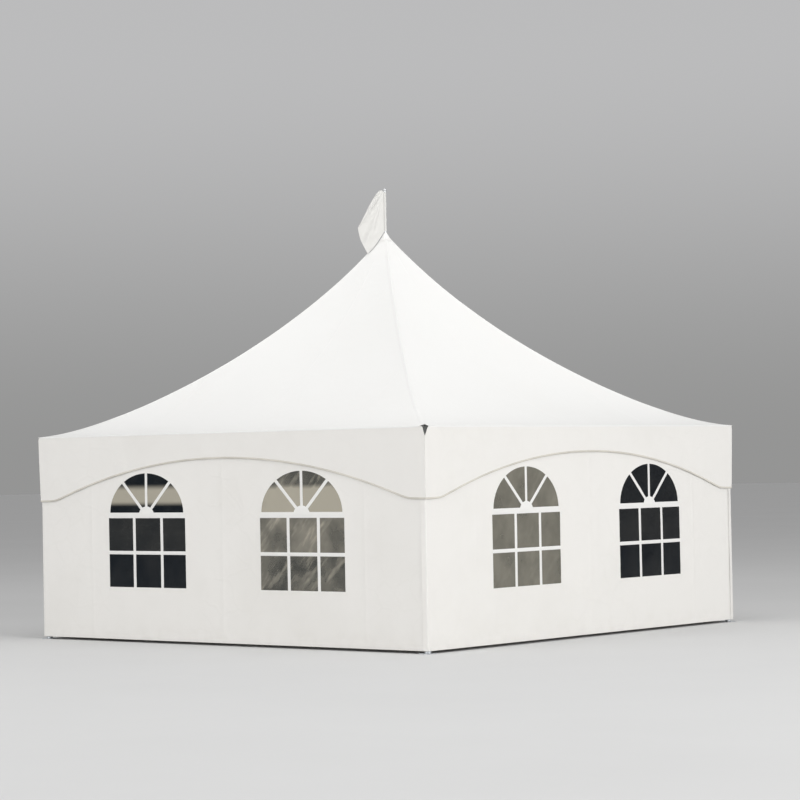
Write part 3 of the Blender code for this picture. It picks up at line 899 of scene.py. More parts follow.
def bolt_recipe() -> Recipe:
    """A hexagonal head on a washer at every point, along the point's own axis."""
    recipe = Recipe("bolts", {"Places": "Geometry", "Head radius": "Float", "Head height": "Float"})
    nodes = recipe.nodes
    radius, height = recipe.given("Head radius"), recipe.given("Head height")
    head = (6, radius, height, height * 0.5)
    washer = (20, radius * 1.35, height * 0.25, height * 0.1)
    parts = []
    for sides, wide, tall, lift in (head, washer):
        values = {"Vertices": sides, "Radius": wide, "Depth": tall}
        barrel = nodes.add("GeometryNodeMeshCylinder", values, output="Mesh")
        offset = nodes.add("ShaderNodeCombineXYZ", {2: lift})
        parts.append(nodes.add("GeometryNodeTransform", {"Geometry": barrel, "Translation": offset}))
    bolt = nodes.add("GeometryNodeJoinGeometry", {0: parts})
    axis = nodes.add("GeometryNodeInputNamedAttribute", {"Name": "axis"}, {"data_type": "FLOAT_VECTOR"})
    turn = nodes.add("FunctionNodeAlignRotationToVector", {"Vector": axis}, {"axis": "Z"})
    values = {"Points": recipe.given("Places"), "Instance": bolt, "Rotation": turn}
    recipe.end(nodes.add("GeometryNodeInstanceOnPoints", values))
    return recipe


def line_mesh(name: str, lines: Iterable[Array]) -> Mesh:
    """A mesh of edges along some lines of points."""
    points: list[list[float]] = []
    edges: list[tuple[int, int]] = []
    for line in lines:
        start = len(points)
        points.extend(line.tolist())
        edges.extend((start + step, start + step + 1) for step in range(len(line) - 1))
    mesh = bpy.data.meshes.new(name)
    mesh.from_pydata(points, edges, [])
    return mesh


def point_mesh(name: str, points: Points, axes: Points) -> Mesh:
    """A mesh of loose points, each with an axis."""
    mesh = bpy.data.meshes.new(name)
    mesh.from_pydata([tuple(point) for point in points], [], [])
    attribute = mesh.attributes.new("axis", "FLOAT_VECTOR", "POINT")
    attribute.data.foreach_set("vector", np.array(axes, np.float32).ravel())
    return mesh


def sew(recipe: Recipe, name: str, side: Side, seams: Iterable[Array], rise: float) -> Object:
    """Stitches on a side of the tent, along lines of points as they run on the front side."""
    values = {"Pitch": 0.008, "Stitch": (0.0052, 0.0014, rise), "Finish": THREAD.material()}
    return recipe.make(f"{name}_{side.label}", line_mesh("lines", map(side.turned, seams)), values)


# Sub-assemblies


@dataclass(frozen=True)
class Plan:
    """Planes and heights of the frame, in metres."""

    half: float  # from the axis to the outer face of a valance
    eave: float  # top of the roof's edge
    valance_top: float
    wall_top: float
    hem: float  # a wall's lower edge
    wall_face: float  # from the axis to a wall's outer face

    @classmethod
    def of_frame(cls) -> "Plan":
        """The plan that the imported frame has."""
        roof, valance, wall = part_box("canopy"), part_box("valance_front"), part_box("side_wall_front")
        skin = 0.004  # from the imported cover's lower edge to the top of its roll
        return cls(roof[1].x, roof[0].z + skin, valance[1].z, wall[1].z, wall[0].z, -wall[0].y)


@dataclass
class Roof:
    """The swept cover: one sheet over all four sides, rolled over at the eave, with welded seams."""

    plan: Plan
    rise: float = 2.455
    gentle: Pair = (0.884, 1.483)  # share of the rise, and power
    steep: float = 5.86
    bow: float = 0.055
    neck: float = 0.030
    head: float = 0.100
    head_row: float = 0.975  # share of the rows below the mast head
    columns: int = 64
    rows: int = 92
    thickness: float = 0.0014
    roll: tuple[Pair, ...] = ((-0.0022, 0.0), (0.0004, -0.0012), (0.0013, -0.0042), (0.0014, -0.0140))
    corner_share: float = 0.3  # how much of the roll is left at a corner
    corner_ease: Pair = (0.03, 0.15)
    gape: Pair = (0.024, 0.075)  # how far the near corner curls up, and within what reach
    waves: Waves = Waves(41, 14, 0.0021, (0.35, 1.10))
    calm_eave: float = 0.10  # height over the eave in which the waves begin
    calm_peak: Pair = (4.45, 4.75)  # heights between which they end
    seam_offsets: tuple[float, ...] = (-1.55, 0.0, 1.55)
    seam_rest: float = 0.006  # how far the seams stop short of the eave's edge
    seam_stop: Pair = (0.04, 0.16)  # from a hip, and from the axis
    seam_step: float = 0.045
    seam: Pair = (0.024, 0.0007)  # width and height
    hip_stop: float = 0.11
    hip_step: float = 0.04
    hip: Pair = (0.044, 0.0006)
    over_all: float = 6.0  # a height over the whole tent
    flat: Pair = (8.6, 8.6)

    @property
    def steps(self) -> Triple:
        """The shares of the way in where the mast head and the neck begin, and the slope between them."""
        head, neck = 1 - self.head / self.plan.half, 1 - self.neck / self.plan.half
        return head, neck, (self.rise_at(neck) - self.rise_at(head)) / (neck - head)

    def rise_at(self, share: float | Array) -> float | Array:
        """Height of the sweep at a share of the way in."""
        part, power = self.gentle
        return self.plan.eave + self.rise * (part * share**power + (1 - part) * share**self.steep)

    def height(self, x: Array, y: Array) -> Array:
        """Height of the cover at places in plan near the peak."""
        share = 1 - np.maximum(np.abs(x), np.abs(y)) / self.plan.half
        head, _, slope = self.steps
        return self.rise_at(np.clip(share, 0.0, head)) + np.maximum(share - head, 0.0) * slope

    def rule(self) -> Recipe:
        """The tree that draws a grid up from an eave to the peak and repeats it on all sides."""
        numbers = ("Half span", "Eave", "Rise", "Gentle share", "Gentle power", "Steep power", "Bow")
        numbers += ("Head share", "Neck share", "Head slope", "Head row")
        recipe = Recipe("swept_roof", {**dict.fromkeys(numbers, "Float"), "Columns": "Int", "Rows": "Int"})
        nodes, given = recipe.nodes, recipe.given
        size = {"Size X": 1.0, "Size Y": 1.0, "Vertices X": given("Columns"), "Vertices Y": given("Rows")}
        grid = nodes.add("GeometryNodeMeshGrid", size, output="Mesh")
        beside, forth, _ = nodes.split(nodes.add("GeometryNodeInputPosition"))
        across, climb = beside * 2, forth + 0.5
        head, neck, row = given("Head share"), given("Neck share"), given("Head row")
        below = (climb / row).at_most(1.0) * head
        above = (climb - row).at_least(0.0) / (1 - row) * (neck - head)
        share = below + above
        part = given("Gentle share")
        sweep = part * below ** given("Gentle power") + (1 - part) * below ** given("Steep power")
        height = given("Eave") + given("Rise") * sweep + above * given("Head slope")
        drawn_in = given("Bow") * 4 * share * (1 - share) * (1 - across * across)
        drawn_in = drawn_in * ((head - share) * 25).at_most(1.0).at_least(0.0)
        half = given("Half span") * (1 - share)
        spot = {0: across * half, 1: half * (drawn_in - 1), 2: height}
        place = nodes.add("ShaderNodeCombineXYZ", spot)
        side = nodes.add("GeometryNodeSetPosition", {"Geometry": grid, "Position": place})
        sides = [side]
        for turn in (Side.RIGHT, Side.BACK, Side.LEFT):
            angle = (0.0, 0.0, math.radians(turn.value))
            sides.append(nodes.add("GeometryNodeTransform", {"Geometry": side, "Rotation": angle}))
        joined = nodes.add("GeometryNodeJoinGeometry", {0: sides})
        recipe.end(nodes.add("GeometryNodeMergeByDistance", {"Geometry": joined, "Distance": 0.0002}))
        return recipe

    def cover(self) -> Object:
        """The cover as an open sheet by the rule, waved, and rolled over at the eave."""
        head, neck, slope = self.steps
        values = {
            "Half span": self.plan.half, "Eave": self.plan.eave, "Rise": self.rise,
            "Gentle share": self.gentle[0], "Gentle power": self.gentle[1], "Steep power": self.steep,
            "Bow": self.bow, "Head share": head, "Neck share": neck, "Head slope": slope,
            "Head row": self.head_row, "Columns": self.columns + 1, "Rows": self.rows + 1,
            "Finish": ROOF_CLOTH.material(),
        }
        obj = self.rule().make("roof_cover", bpy.data.meshes.new("roof_seed"), values)
        work = bmesh.new()
        work.from_mesh(obj.data)
        work.verts.ensure_lookup_table()
        places = np.array([vert.co for vert in work.verts])
        work.normal_update()
        outward = np.array([vert.normal for vert in work.verts])
        low, high = self.calm_peak
        calm = ease(places[:, 2], self.plan.eave, self.plan.eave + self.calm_eave)
        calm *= ease(-places[:, 2], -high, -low)
        places += outward * (self.waves.at(places) * calm)[:, None]
        for vert, place in zip(work.verts, places):
            vert.co = place
        self.roll_over(work)
        work.to_mesh(obj.data)
        work.free()
        self.lay_pattern(obj.data)
        return obj

    def roll_over(self, work: bmesh.types.BMesh) -> None:
        """Rolls the eave's edge over and down."""
        low = self.plan.eave + 0.001
        edges = [edge for edge in work.edges if edge.is_boundary and edge.verts[0].co.z < low]
        for step, (out, down) in enumerate(self.roll):
            if step:
                made = bmesh.ops.extrude_edge_only(work, edges=edges)["geom"]
                edges = [item for item in made if isinstance(item, bmesh.types.BMEdge)]
            for vert in {vert for edge in edges for vert in edge.verts}:
                far, near = sorted((abs(vert.co.x), abs(vert.co.y)), reverse=True)
                scale = (self.plan.half + out) / far
                full = float(ease(np.array(far - near), *self.corner_ease))
                drop = down * (self.corner_share + (1 - self.corner_share) * full)
                vert.co = Vector((vert.co.x * scale, vert.co.y * scale, self.plan.eave + drop))
        height, reach = self.gape
        for vert in work.verts:
            far = math.hypot(vert.co.x - self.plan.half, vert.co.y + self.plan.half)
            vert.co.z += height * max(0.0, 1 - far / reach) ** 1.5
        bmesh.ops.recalc_face_normals(work, faces=work.faces)
        top = max(work.faces, key=lambda face: face.calc_area())
        if top.normal.z < 0:
            bmesh.ops.reverse_faces(work, faces=work.faces)

    def lay_pattern(self, mesh: Mesh) -> None:
        """Gives each side pattern coordinates in metres: along the eave, and up the slope."""
        layer = mesh.uv_layers.get("pattern") or mesh.uv_layers.new(name="pattern")
        shares = np.linspace(0, 1, 400)
        heights = np.array([self.rise_at(share) for share in shares])
        slope = np.concatenate([[0], np.cumsum(np.hypot(np.diff(shares) * self.plan.half, np.diff(heights)))])
        for face in mesh.polygons:
            x, y, _ = face.center
            for loop in face.loop_indices:
                place = mesh.vertices[mesh.loops[loop].vertex_index].co
                along = place.x if abs(y) > abs(x) else place.y
                layer.data[loop].uv = (along, float(np.interp(place.z, heights, slope)))

    def seams(self, drape: Drape) -> Object:
        """The welded seams of each side, and the welts over the hips."""
        start, (beside_hip, top) = self.plan.half - self.seam_rest, self.seam_stop
        runs = []
        for offset in self.seam_offsets:
            reach = np.arange(start, max(abs(offset) + beside_hip, top), -self.seam_step)
            runs.append((np.full(len(reach), offset), reach, np.array((1.0, 0.0, 0.0)), *self.seam))
        reach = np.arange(start - self.hip[0] / 2, self.hip_stop, -self.hip_step)
        runs.append((reach, reach, np.array((1.0, 1.0, 0.0)) / math.sqrt(2), *self.hip))
        shape = Shape()
        for side in Side:
            for right, reach, across, width, proud in runs:
                line = np.stack([right, -reach, np.full(len(reach), self.over_all)], axis=1)
                drape.strip(shape, side.turned(line), side.turned(across), width, proud)
        return shape.build("roof_seams")

    def build(self) -> None:
        cover = self.cover()
        mesh = cover.data
        points = np.array([vert.co for vert in mesh.vertices])
        drape = Drape(points, [tuple(face.vertices) for face in mesh.polygons], (0.0, 0.0, -8.0))
        thicken(cover, self.thickness)
        finish_piece(cover, ROOF_CLOTH, Slot.VINYL, ["canopy"])
        seams = finish_piece(self.seams(drape), ROOF_CLOTH, Slot.VINYL)


@dataclass
class Valance:
    """The arched valances, each bound with a sewn tape along its lower edge."""

    plan: Plan
    stitches: Recipe
    corner_depth: float = 0.790
    middle_depth: float = 0.305
    level: float = 0.270  # straight stretch at each end of the lower edge
    fillet: float = 0.026  # softens the turn from the arch to the straight stretch
    near_slit: Pair = (0.042, 0.105)  # width and depth where the cloth gapes at a corner
    slit_lean: float = 0.24  # how much wider it is on the side to its right
    far_slit: Pair = (0.010, 0.045)  # and where it is pulled tight
    slit_columns: tuple[float, ...] = (0.005, 0.010, 0.019, 0.028, 0.037, 0.046)  # from an end
    slit_reach: float = 0.065
    thickness: float = 0.0016
    inset: float = 0.0004
    columns: int = 220
    rows: int = 22
    tape: float = 0.020
    tape_skin: float = 0.0012
    tape_ends: Pair = (0.0010, 0.0032)  # how far it stops short at the left and the right end
    tape_steps: int = 260
    stitch_in: float = 0.0055  # from the tape's upper edge to its stitches
    draw: float = 0.014  # how far its lower edge hangs in towards the wall
    reach: float = 3.0  # the part of the half span in which that draw follows the arch
    flare: float = 0.0035
    still: Pair = (0.22, 0.12)  # reach from a corner, and share of the depth, in which waves grow
    flat: Pair = (6.096, 0.790)

    def lower_edge(self, along: Array) -> Array:
        """Height of the lower edge at places along the valance."""
        low, crown = self.plan.eave - self.corner_depth, self.plan.eave - self.middle_depth
        half, rise = self.plan.half - self.level, crown - low
        radius = (half**2 + rise**2) / (2 * rise)
        above = crown - radius + np.sqrt(radius**2 - along**2) - low
        return low + (above + np.hypot(above, self.fillet)) / 2

    def upper_edge(self, side: Side, along: Array) -> Array:
        """Height of the upper edge, which drops in the slit at each corner."""
        drop = np.zeros(len(along))
        for end, corner in ((-1, side.left_corner), (1, side.corner)):
            width, depth = self.near_slit if corner == Side.FRONT.corner else self.far_slit
            gap = self.plan.half - end * along
            width *= 1 - self.slit_lean * end
            drop = np.maximum(drop, depth * np.clip(1 - gap / width, 0, 1) ** 0.75)
        return self.plan.valance_top - drop

    def outward(self, side: Side, along: Array, height: Array) -> Array:
        """How far the cloth stands out at places on it."""
        waves = Waves(60 + side.value, 10, 0.0028, (0.16, 0.60), (2.2, 0.0, 0.6))
        fade = ease(self.plan.half - np.abs(along), 0.0, self.still[0])
        drop = (self.plan.valance_top - height) / self.corner_depth
        hang = ease(drop, 0.0, self.still[1])
        flare = self.flare * drop * np.sin(along * 2.3 + side.value)
        return (waves.over(along, height) * hang + flare * hang) * fade

    def places(self, side: Side, along: Array, height: Array) -> Array:
        """Points of the outer face."""
        top, arch = self.plan.valance_top, self.lower_edge(np.clip(along, -self.reach, self.reach))
        drawn = self.draw * (top - height) / (top - arch)
        out = self.plan.half - self.inset - drawn + self.outward(side, along, height)
        return np.stack([along * (1 - drawn / self.plan.half), -out, height], axis=1)

    def cloth(self, side: Side) -> Object:
        """The valance's cloth."""
        left, right = -self.plan.half + self.inset, self.plan.half - self.thickness - 2 * self.inset
        slit = np.array(self.slit_columns)
        middle = np.linspace(left + self.slit_reach, right - self.slit_reach, self.columns)
        along = np.concatenate([[left], left + slit, middle, right - slit[::-1], [right]])
        down = np.linspace(0, 1, self.rows + 1)
        top, bottom = self.upper_edge(side, along), self.lower_edge(along)
        grid_along = np.tile(along, self.rows + 1)
        grid_height = (top[None, :] + (bottom - top)[None, :] * down[:, None]).ravel()
        points = self.places(side, grid_along, grid_height)
        faces = grid_faces(self.rows, len(along) - 1, downwards=True)
        flat = np.stack([grid_along, grid_height], axis=1)
        return sheet_piece(f"valance_cloth_{side.label}", points, faces, flat, self.thickness, side.turn)

    def edge_line(self, lift: float) -> tuple[Array, Array]:
        """Places along the lower edge, lifted square to it: along and height."""
        left, right = self.tape_ends
        along = np.linspace(-self.plan.half + left, self.plan.half - right, self.tape_steps)
        height = self.lower_edge(along)
        slope = np.gradient(height, along)
        length = np.hypot(1, slope)
        return along - lift * slope / length, height + lift / length

    def binding(self, side: Side) -> Object:
        """The tape folded over the lower edge."""
        skin, deep, edge = self.tape_skin, self.thickness, self.tape - 0.0015
        section = ((self.tape, skin * 0.4), (edge, skin), (0.012, skin * 1.3), (0.001, skin))
        section += ((-0.0012, 0.0), (-0.0014, -deep / 2), (-0.0012, -deep), (0.001, -deep - skin))
        section += ((edge, -deep - skin), (self.tape, -deep - skin * 0.4))
        rows = []
        for lift, out in section:
            along, height = self.edge_line(lift)
            along = np.clip(along, -self.plan.half, self.plan.half)
            rows.append(self.places(side, along, height) + FRONT_OUT * out)
        shape = Shape()
        shape.sweep(np.stack(rows, axis=1))
        return shape.build(f"valance_binding_{side.label}", turn=side.turn)

    def sewing(self, side: Side) -> Object:
        """The stitches that hold the tape."""
        along, height = self.edge_line(self.tape - self.stitch_in)
        seam = self.places(side, along, height) + FRONT_OUT * (self.tape_skin * 1.15)
        return sew(self.stitches, "valance_stitches", side, [seam], 0.0011)

    def build(self) -> None:
        for side in Side:
            cloth = finish_piece(self.cloth(side), WALL_CLOTH, Slot.VINYL, [f"valance_{side.label}"])
            tape = finish_piece(self.binding(side), BINDING, Slot.VINYL)
            sewing = finish_piece(self.sewing(side), THREAD, Slot.VINYL)


Bar = tuple[Pair, Pair, float, float]  # both ends, width and height over the film


@dataclass
class Window:
    """The outline of a window and its white bars, in the plane of its wall."""

    offset: float = 1.225
    width: float = 1.270
    sill: float = 0.6504
    spring: float = 1.5204
    shoulder: float = 0.025
    fan: float = 0.475
    lap: float = 0.028
    transom: Pair = (1.500, 0.065)  # middle height and width
    rail: Pair = (1.059, 0.041)
    mullion: float = 0.043
    mullion_places: Pair = (-0.206, 0.249)  # from the middle: the right pane is the narrowest
    spoke: float = 0.039
    spoke_angle: float = math.radians(45)
    hub: Pair = (0.124, 0.102)  # half width and height
    strip: float = 0.0009
    film: float = 0.0008
    over: float = 0.007  # how far the bars reach past the opening
    arch_steps: int = 40

    def outline(self, lap: float, step: float = 0.03) -> Array:
        """The outline, widened by a lap, as a loop of points with even steps, anticlockwise from outside."""
        side, low = self.width / 2 + lap, self.sill - lap
        corners = [(-side, self.spring), (-side, low), (side, low), (side, self.spring)]
        for part in range(self.arch_steps + 1):
            angle = math.pi * part / self.arch_steps
            arch = self.spring + (self.fan + lap) * math.sin(angle)
            corners.append(((side - self.shoulder) * math.cos(angle), arch))
        loop = []
        for first, second in zip(corners, corners[1:] + corners[:1]):
            pieces = max(1, round(math.dist(first, second) / step))
            shares = [part / pieces for part in range(pieces)]
            loop += [[a + (b - a) * share for a, b in zip(first, second)] for share in shares]
        return np.array(loop)

    def holds(self, along: Array, height: Array, lap: float = 0.0) -> Array:
        """Whether places, from the window's middle, lie in its outline widened by a lap."""
        side, low = self.width / 2 + lap, self.sill - lap
        square = (np.abs(along) < side) & (height > low) & (height < self.spring)
        arch = (along / (side - self.shoulder)) ** 2 + ((height - self.spring) / (self.fan + lap)) ** 2 < 1
        return square | (arch & (height >= self.spring))

    def spoke_end(self) -> Pair:
        """Where a slanting spoke from the transom's middle meets the arch, and a little past it."""
        across, up = math.cos(self.spoke_angle), math.sin(self.spoke_angle)
        wide, tall = self.width / 2 - self.shoulder, self.fan
        drop = (self.transom[0] - self.spring) / tall
        square = (across / wide) ** 2 + (up / tall) ** 2
        middle = drop * up / tall
        reach = (-middle + math.sqrt(middle**2 - square * (drop**2 - 1))) / square + self.over
        return across * reach, self.transom[0] + up * reach

    def bars(self) -> list[Bar]:
        """The bars: those across, and then the rest, a little lower so that they end under them."""
        side, (right, top), thin = self.width / 2 + self.over, self.spoke_end(), self.strip * 0.85
        levels = (self.transom, self.rail)
        beam = self.transom[0]
        made = [((-side, height), (side, height), width, self.strip) for height, width in levels]
        spokes = ((0.0, self.spring + self.fan + self.over, 1.0), (right, top, 0.9), (-right, top, 0.8))
        for along, height, share in spokes:
            made.append(((0.0, beam), (along, height), self.spoke, thin * share))
        for place in self.mullion_places:
            made.append(((place, self.sill - self.over), (place, beam), self.mullion, thin))
        return made


@dataclass
class Walls:
    """The four side walls, each with two windows, a hem, panel seams and an end that turns the corner."""

    plan: Plan
    window: Window
    stitches: Recipe
    thickness: float = 0.0016
    inset: float = 0.0005
    flap: float = 0.068
    flap_lift: float = 0.006  # how far its free edge stands off
    bend: float = 0.005  # radius where the end turns the corner
    spacing: float = 0.034
    hem: float = 0.072
    seam_places: tuple[float, ...] = (-2.15, 0.0, 2.15)
    seam_half: float = 0.012
    layer: float = 0.0009  # how far a second layer of cloth stands out
    corner_room: float = 0.003  # from the cloth's face out to its turned end
    flap_cut: float = 0.006  # how far its free edge is cut back
    end_gap: float = 0.0012  # from its right end to its neighbour
    pane_grid: tuple[Pair, Pair] = ((-0.68, 0.69), (0.60, 2.05))
    pane_step: float = 0.036
    bar_section: tuple[Pair, ...] = (
        (-0.5, -0.1), (-0.5, 0.6), (-0.47, 1.0), (0.0, 1.08), (0.47, 1.0), (0.5, 0.6), (0.5, -0.1)
    )  # shares of a bar's width and height
    hub_section: tuple[Pair, ...] = (
        (1.0, -0.1), (1.0, 0.9), (0.97, 1.2), (0.5, 1.25), (0.02, 1.25), (0.02, -0.1)
    )  # shares of its reach and of a bar's height
    flat: Pair = (6.11, 2.398)
    pane_flat: Pair = (1.326, 1.401)

    @property
    def face(self) -> float:
        """From the axis to the cloth's outer face."""
        return self.plan.wall_face - self.inset

    @property
    def corner(self) -> float:
        """Where the face of the turned end lies, on the left."""
        return -(self.face + self.corner_room)

    @property
    def left_end(self) -> float:
        """Where the unrolled cloth ends on the left, past its turn round the corner."""
        return self.corner - self.flap + self.flap_cut

    @property
    def right_end(self) -> float:
        """Where it ends on the right, behind its neighbour."""
        return self.face - self.thickness - self.end_gap

    def waves(self, side: Side, along: Array, height: Array) -> Array:
        """How far the wall stands out: slow billows, hanging folds and packing creases."""
        billow = Waves(5 + side.value, 5, 0.0050, (1.3, 2.8)).over(along, height)
        folds = Waves(17 + side.value, 11, 0.0019, (0.22, 0.75), (2.6, 0.0, 0.5)).over(along, height)
        creases = Creases((0.76, 0.61), (0.38, 0.10), 0.0011).at(along, height)
        ends = ease(self.plan.wall_face - np.abs(along), 0.01, 0.30)
        top = ease(self.plan.wall_top - height, 0.0, 0.85)
        return (billow + folds + creases) * ends * top

    def layers(self, along: Array, height: Array) -> Array:
        """How far doubled cloth stands out: hem, panel seams and the laps round the windows."""
        total = 1 - ease(height - self.plan.hem, self.hem - 0.004, self.hem + 0.004)
        for place in self.seam_places:
            total = np.maximum(total, 1 - ease(np.abs(along - place), self.seam_half, self.seam_half + 0.005))
        for sign in HANDS:
            inner = self.window.holds(along - sign * self.window.offset, height, self.window.lap + 0.001)
            total = np.maximum(total, np.where(inner, 1.0, 0.0))
        return total * self.layer

    def places(self, side: Side, along: Array, height: Array, behind: float = 0.0) -> Array:
        """Points of the cloth's outer face, or of a face a little behind it."""
        out = self.face - behind + self.waves(side, along, height)
        turn = self.corner + self.bend
        over = np.maximum(turn - along, 0)
        quarter = self.bend * math.pi / 2
        angle = np.clip(over / self.bend, 0, math.pi / 2)
        past = np.maximum(over - quarter, 0)
        lift = self.flap_lift * (past / self.flap) ** 2 * (1 + 0.4 * np.sin(height * 6.1 + side.value))
        x = np.where(over > 0, turn - self.bend * np.sin(angle) - lift, along)
        y = np.where(over > 0, -out + self.bend * (1 - np.cos(angle)) + past, -out)
        return np.stack([x, y, height], axis=1)

    def pattern(self) -> tuple[Array, list[Face]]:
        """The unrolled wall as triangles round its windows.

        Returns:
            Places along and up the cloth, and the faces between them.
        """
        low, high, left, right = self.plan.hem, self.plan.wall_top, self.left_end, self.right_end
        step = self.spacing
        wide, tall = round((right - left) / step), round((high - low) / step)
        along, up = np.linspace(left, right, wide + 1), np.linspace(low, high, tall + 1)
        rim = [(x, low) for x in along[:-1]] + [(right, z) for z in up[:-1]]
        rim += [(x, high) for x in along[:0:-1]] + [(left, z) for z in up[:0:-1]]
        loops, marks, laps = [np.array(rim)], [], (0.014, self.window.lap, self.window.lap + 0.006)
        for sign in HANDS:
            shift = np.array((sign * self.window.offset, 0.0))
            loops.append(self.window.outline(0.0) + shift)
            marks += [self.window.outline(lap) + shift for lap in laps]
        for off in (-0.005, 0.005):
            marks.append(np.stack([along, np.full(len(along), low + self.hem + off)], axis=1))
        seam, wider = self.seam_half, self.seam_half + 0.006
        uprights = [place + off for place in self.seam_places for off in (-wider, -seam, seam, wider)]
        uprights += [self.corner + self.bend - part * self.bend * math.pi / 8 for part in range(5)]
        marks += [np.stack([np.full(len(up), place), up], axis=1) for place in uprights]
        grid = np.stack(np.meshgrid(along, up), axis=-1).reshape(-1, 2)
        kept, edges = [], []
        for loop in loops:
            edges += loop_edges(len(loop), len(kept))
            kept.extend(loop.tolist())
        self.scatter(kept, marks, 0.0035)
        self.scatter(kept, [grid], step * 0.55)
        places, faces = triangles(kept, edges)
        middles = np.array([places[list(face)].mean(axis=0) for face in faces])
        cut = np.zeros(len(faces), bool)
        for sign in HANDS:
            cut |= self.window.holds(middles[:, 0] - sign * self.window.offset, middles[:, 1])
        return places, [face for face, gone in zip(faces, cut) if not gone]

    def scatter(self, kept: list[Sequence[float]], groups: Iterable[Array], apart: float) -> None:
        """Adds those places of each group that are apart from all kept before it."""
        low, high, left, right = self.plan.hem, self.plan.wall_top, self.left_end, self.right_end
        for group in groups:
            tree = KDTree(len(kept))
            for index, place in enumerate(kept):
                tree.insert((*place, 0.0), index)
            tree.balance()
            for place in group:
                inside = left < place[0] < right and low < place[1] < high
                if inside and tree.find((*place, 0.0))[2] > apart:
                    kept.append(place.tolist())

    def cloth(self, side: Side, flat: Array, faces: list[Face]) -> Object:
        """A wall's cloth, by places on the unrolled wall and the faces between them."""
        along, height = flat.T
        points = self.places(side, along, height)
        upright = along > -(self.face - 0.01)
        points[:, 1] -= np.where(upright, self.layers(along, height), 0.0)
        return sheet_piece(f"wall_cloth_{side.label}", points, faces, flat, self.thickness, side.turn)

    def film_places(self, side: Side, sign: int, along: Array, height: Array) -> Array:
        """Points of a pane's outer face, by places from the window's middle."""
        slack = Waves(90 + side.value + sign, 6, 0.0009, (0.14, 0.42)).over(along, height)
        half, over = self.window.width / 2, np.maximum(height - self.window.spring, 0)
        edge = np.minimum(half - np.abs(along), height - self.window.sill)
        top = 1 - (along / half) ** 2 - (over / self.window.fan) ** 2
        calm = ease(edge, 0.0, 0.10) * ease(top, 0.0, 0.3)
        shifted = along + sign * self.window.offset
        points = self.places(side, shifted, height, behind=self.thickness - self.layer + 0.0002)
        points[:, 1] += slack * calm * 0.5
        return points

    def pane(self, side: Side, sign: int) -> Object:
        """The clear film of one window."""
        rim = self.window.outline(self.window.lap - 0.002)
        axes = [np.arange(low, high, self.pane_step) for low, high in self.pane_grid]
        grid = np.stack(np.meshgrid(*axes), axis=-1).reshape(-1, 2)
        inside = self.window.holds(grid[:, 0], grid[:, 1], self.window.lap - 0.014)
        flat, faces = triangles(np.concatenate([rim, grid[inside]]), loop_edges(len(rim)))
        points = self.film_places(side, sign, *flat.T)
        name = f"pane_{side.label}_{HANDS[sign]}"
        return sheet_piece(name, points, faces, flat, self.window.film, side.turn)

    def bars(self, side: Side, sign: int) -> Object:
        """The white bars and the half-round hub on the middle of the transom, welded on a pane."""
        shape = Shape()
        for first, second, width, proud in self.window.bars():
            start, end = np.array(first), np.array(second)
            length = float(np.linalg.norm(end - start))
            share = np.linspace(0, 1, max(2, round(length / 0.03)) + 1)[:, None]
            line = start + (end - start) * share
            beside = np.array((-(end - start)[1], (end - start)[0])) / length
            rows = []
            for off, lift in self.bar_section:
                place = line + beside * width * off
                rows.append(self.film_places(side, sign, *place.T) + FRONT_OUT * proud * lift)
            shape.sweep(np.stack(rows, axis=1))
        (wide, tall), base = self.window.hub, self.window.transom[0] + 0.004
        angles = np.linspace(0, math.pi, 25)
        rings = []
        for share, lift in self.hub_section:
            along, height = wide * share * np.cos(angles), base + tall * share * np.sin(angles)
            rings.append(self.film_places(side, sign, along, height) + FRONT_OUT * self.window.strip * lift)
        shape.sweep(np.stack(rings))
        return shape.build(f"window_bars_{side.label}_{HANDS[sign]}", turn=side.turn)

    def sewing(self, side: Side) -> Object:
        """The stitches of the bottom hem and of the turned end's hem."""
        along = np.linspace(-self.face + 0.03, self.right_end - 0.01, 240)
        low = np.full(len(along), self.plan.hem + (self.hem - 0.008))
        height = np.linspace(self.plan.hem + 0.01, self.plan.wall_top - 0.01, 160)
        left = np.full(len(height), self.left_end + 0.012)
        bottom = self.places(side, along, low) + FRONT_OUT * (self.layer + 0.0003)
        end = self.places(side, left, height) + np.array((-0.0004, 0.0, 0.0))
        return sew(self.stitches, "wall_stitches", side, [bottom, end], 0.0010)

    def build(self) -> None:
        places, faces = self.pattern()
        # Each window gets its own film: two carry painted shade of the room behind, two carry painted
        # reflection.
        films = {(0, -1): PAINTED_SHADE_FILM_REFLECTED_FAN, (0, 1): HAZE_AND_REFLECTION_FILM_REFLECTED_FAN, (90, -1): HAZE_AND_REFLECTION_FILM, (90, 1): PAINTED_SHADE_FILM}
        for side in Side:
            wall = self.cloth(side, places, faces)
            cloth = finish_piece(wall, WALL_CLOTH, Slot.VINYL, [f"side_wall_{side.label}"])
            sewing = finish_piece(self.sewing(side), THREAD, Slot.VINYL)
            for sign, which in HANDS.items():
                film = films[side.value % 180, sign]
                node = f"window_{side.label}_{which}"
                pane = finish_piece(self.pane(side, sign), film, Slot.CLEAR, [node])
                bars = finish_piece(self.bars(side, sign), TRIM_CLOTH, Slot.VINYL)


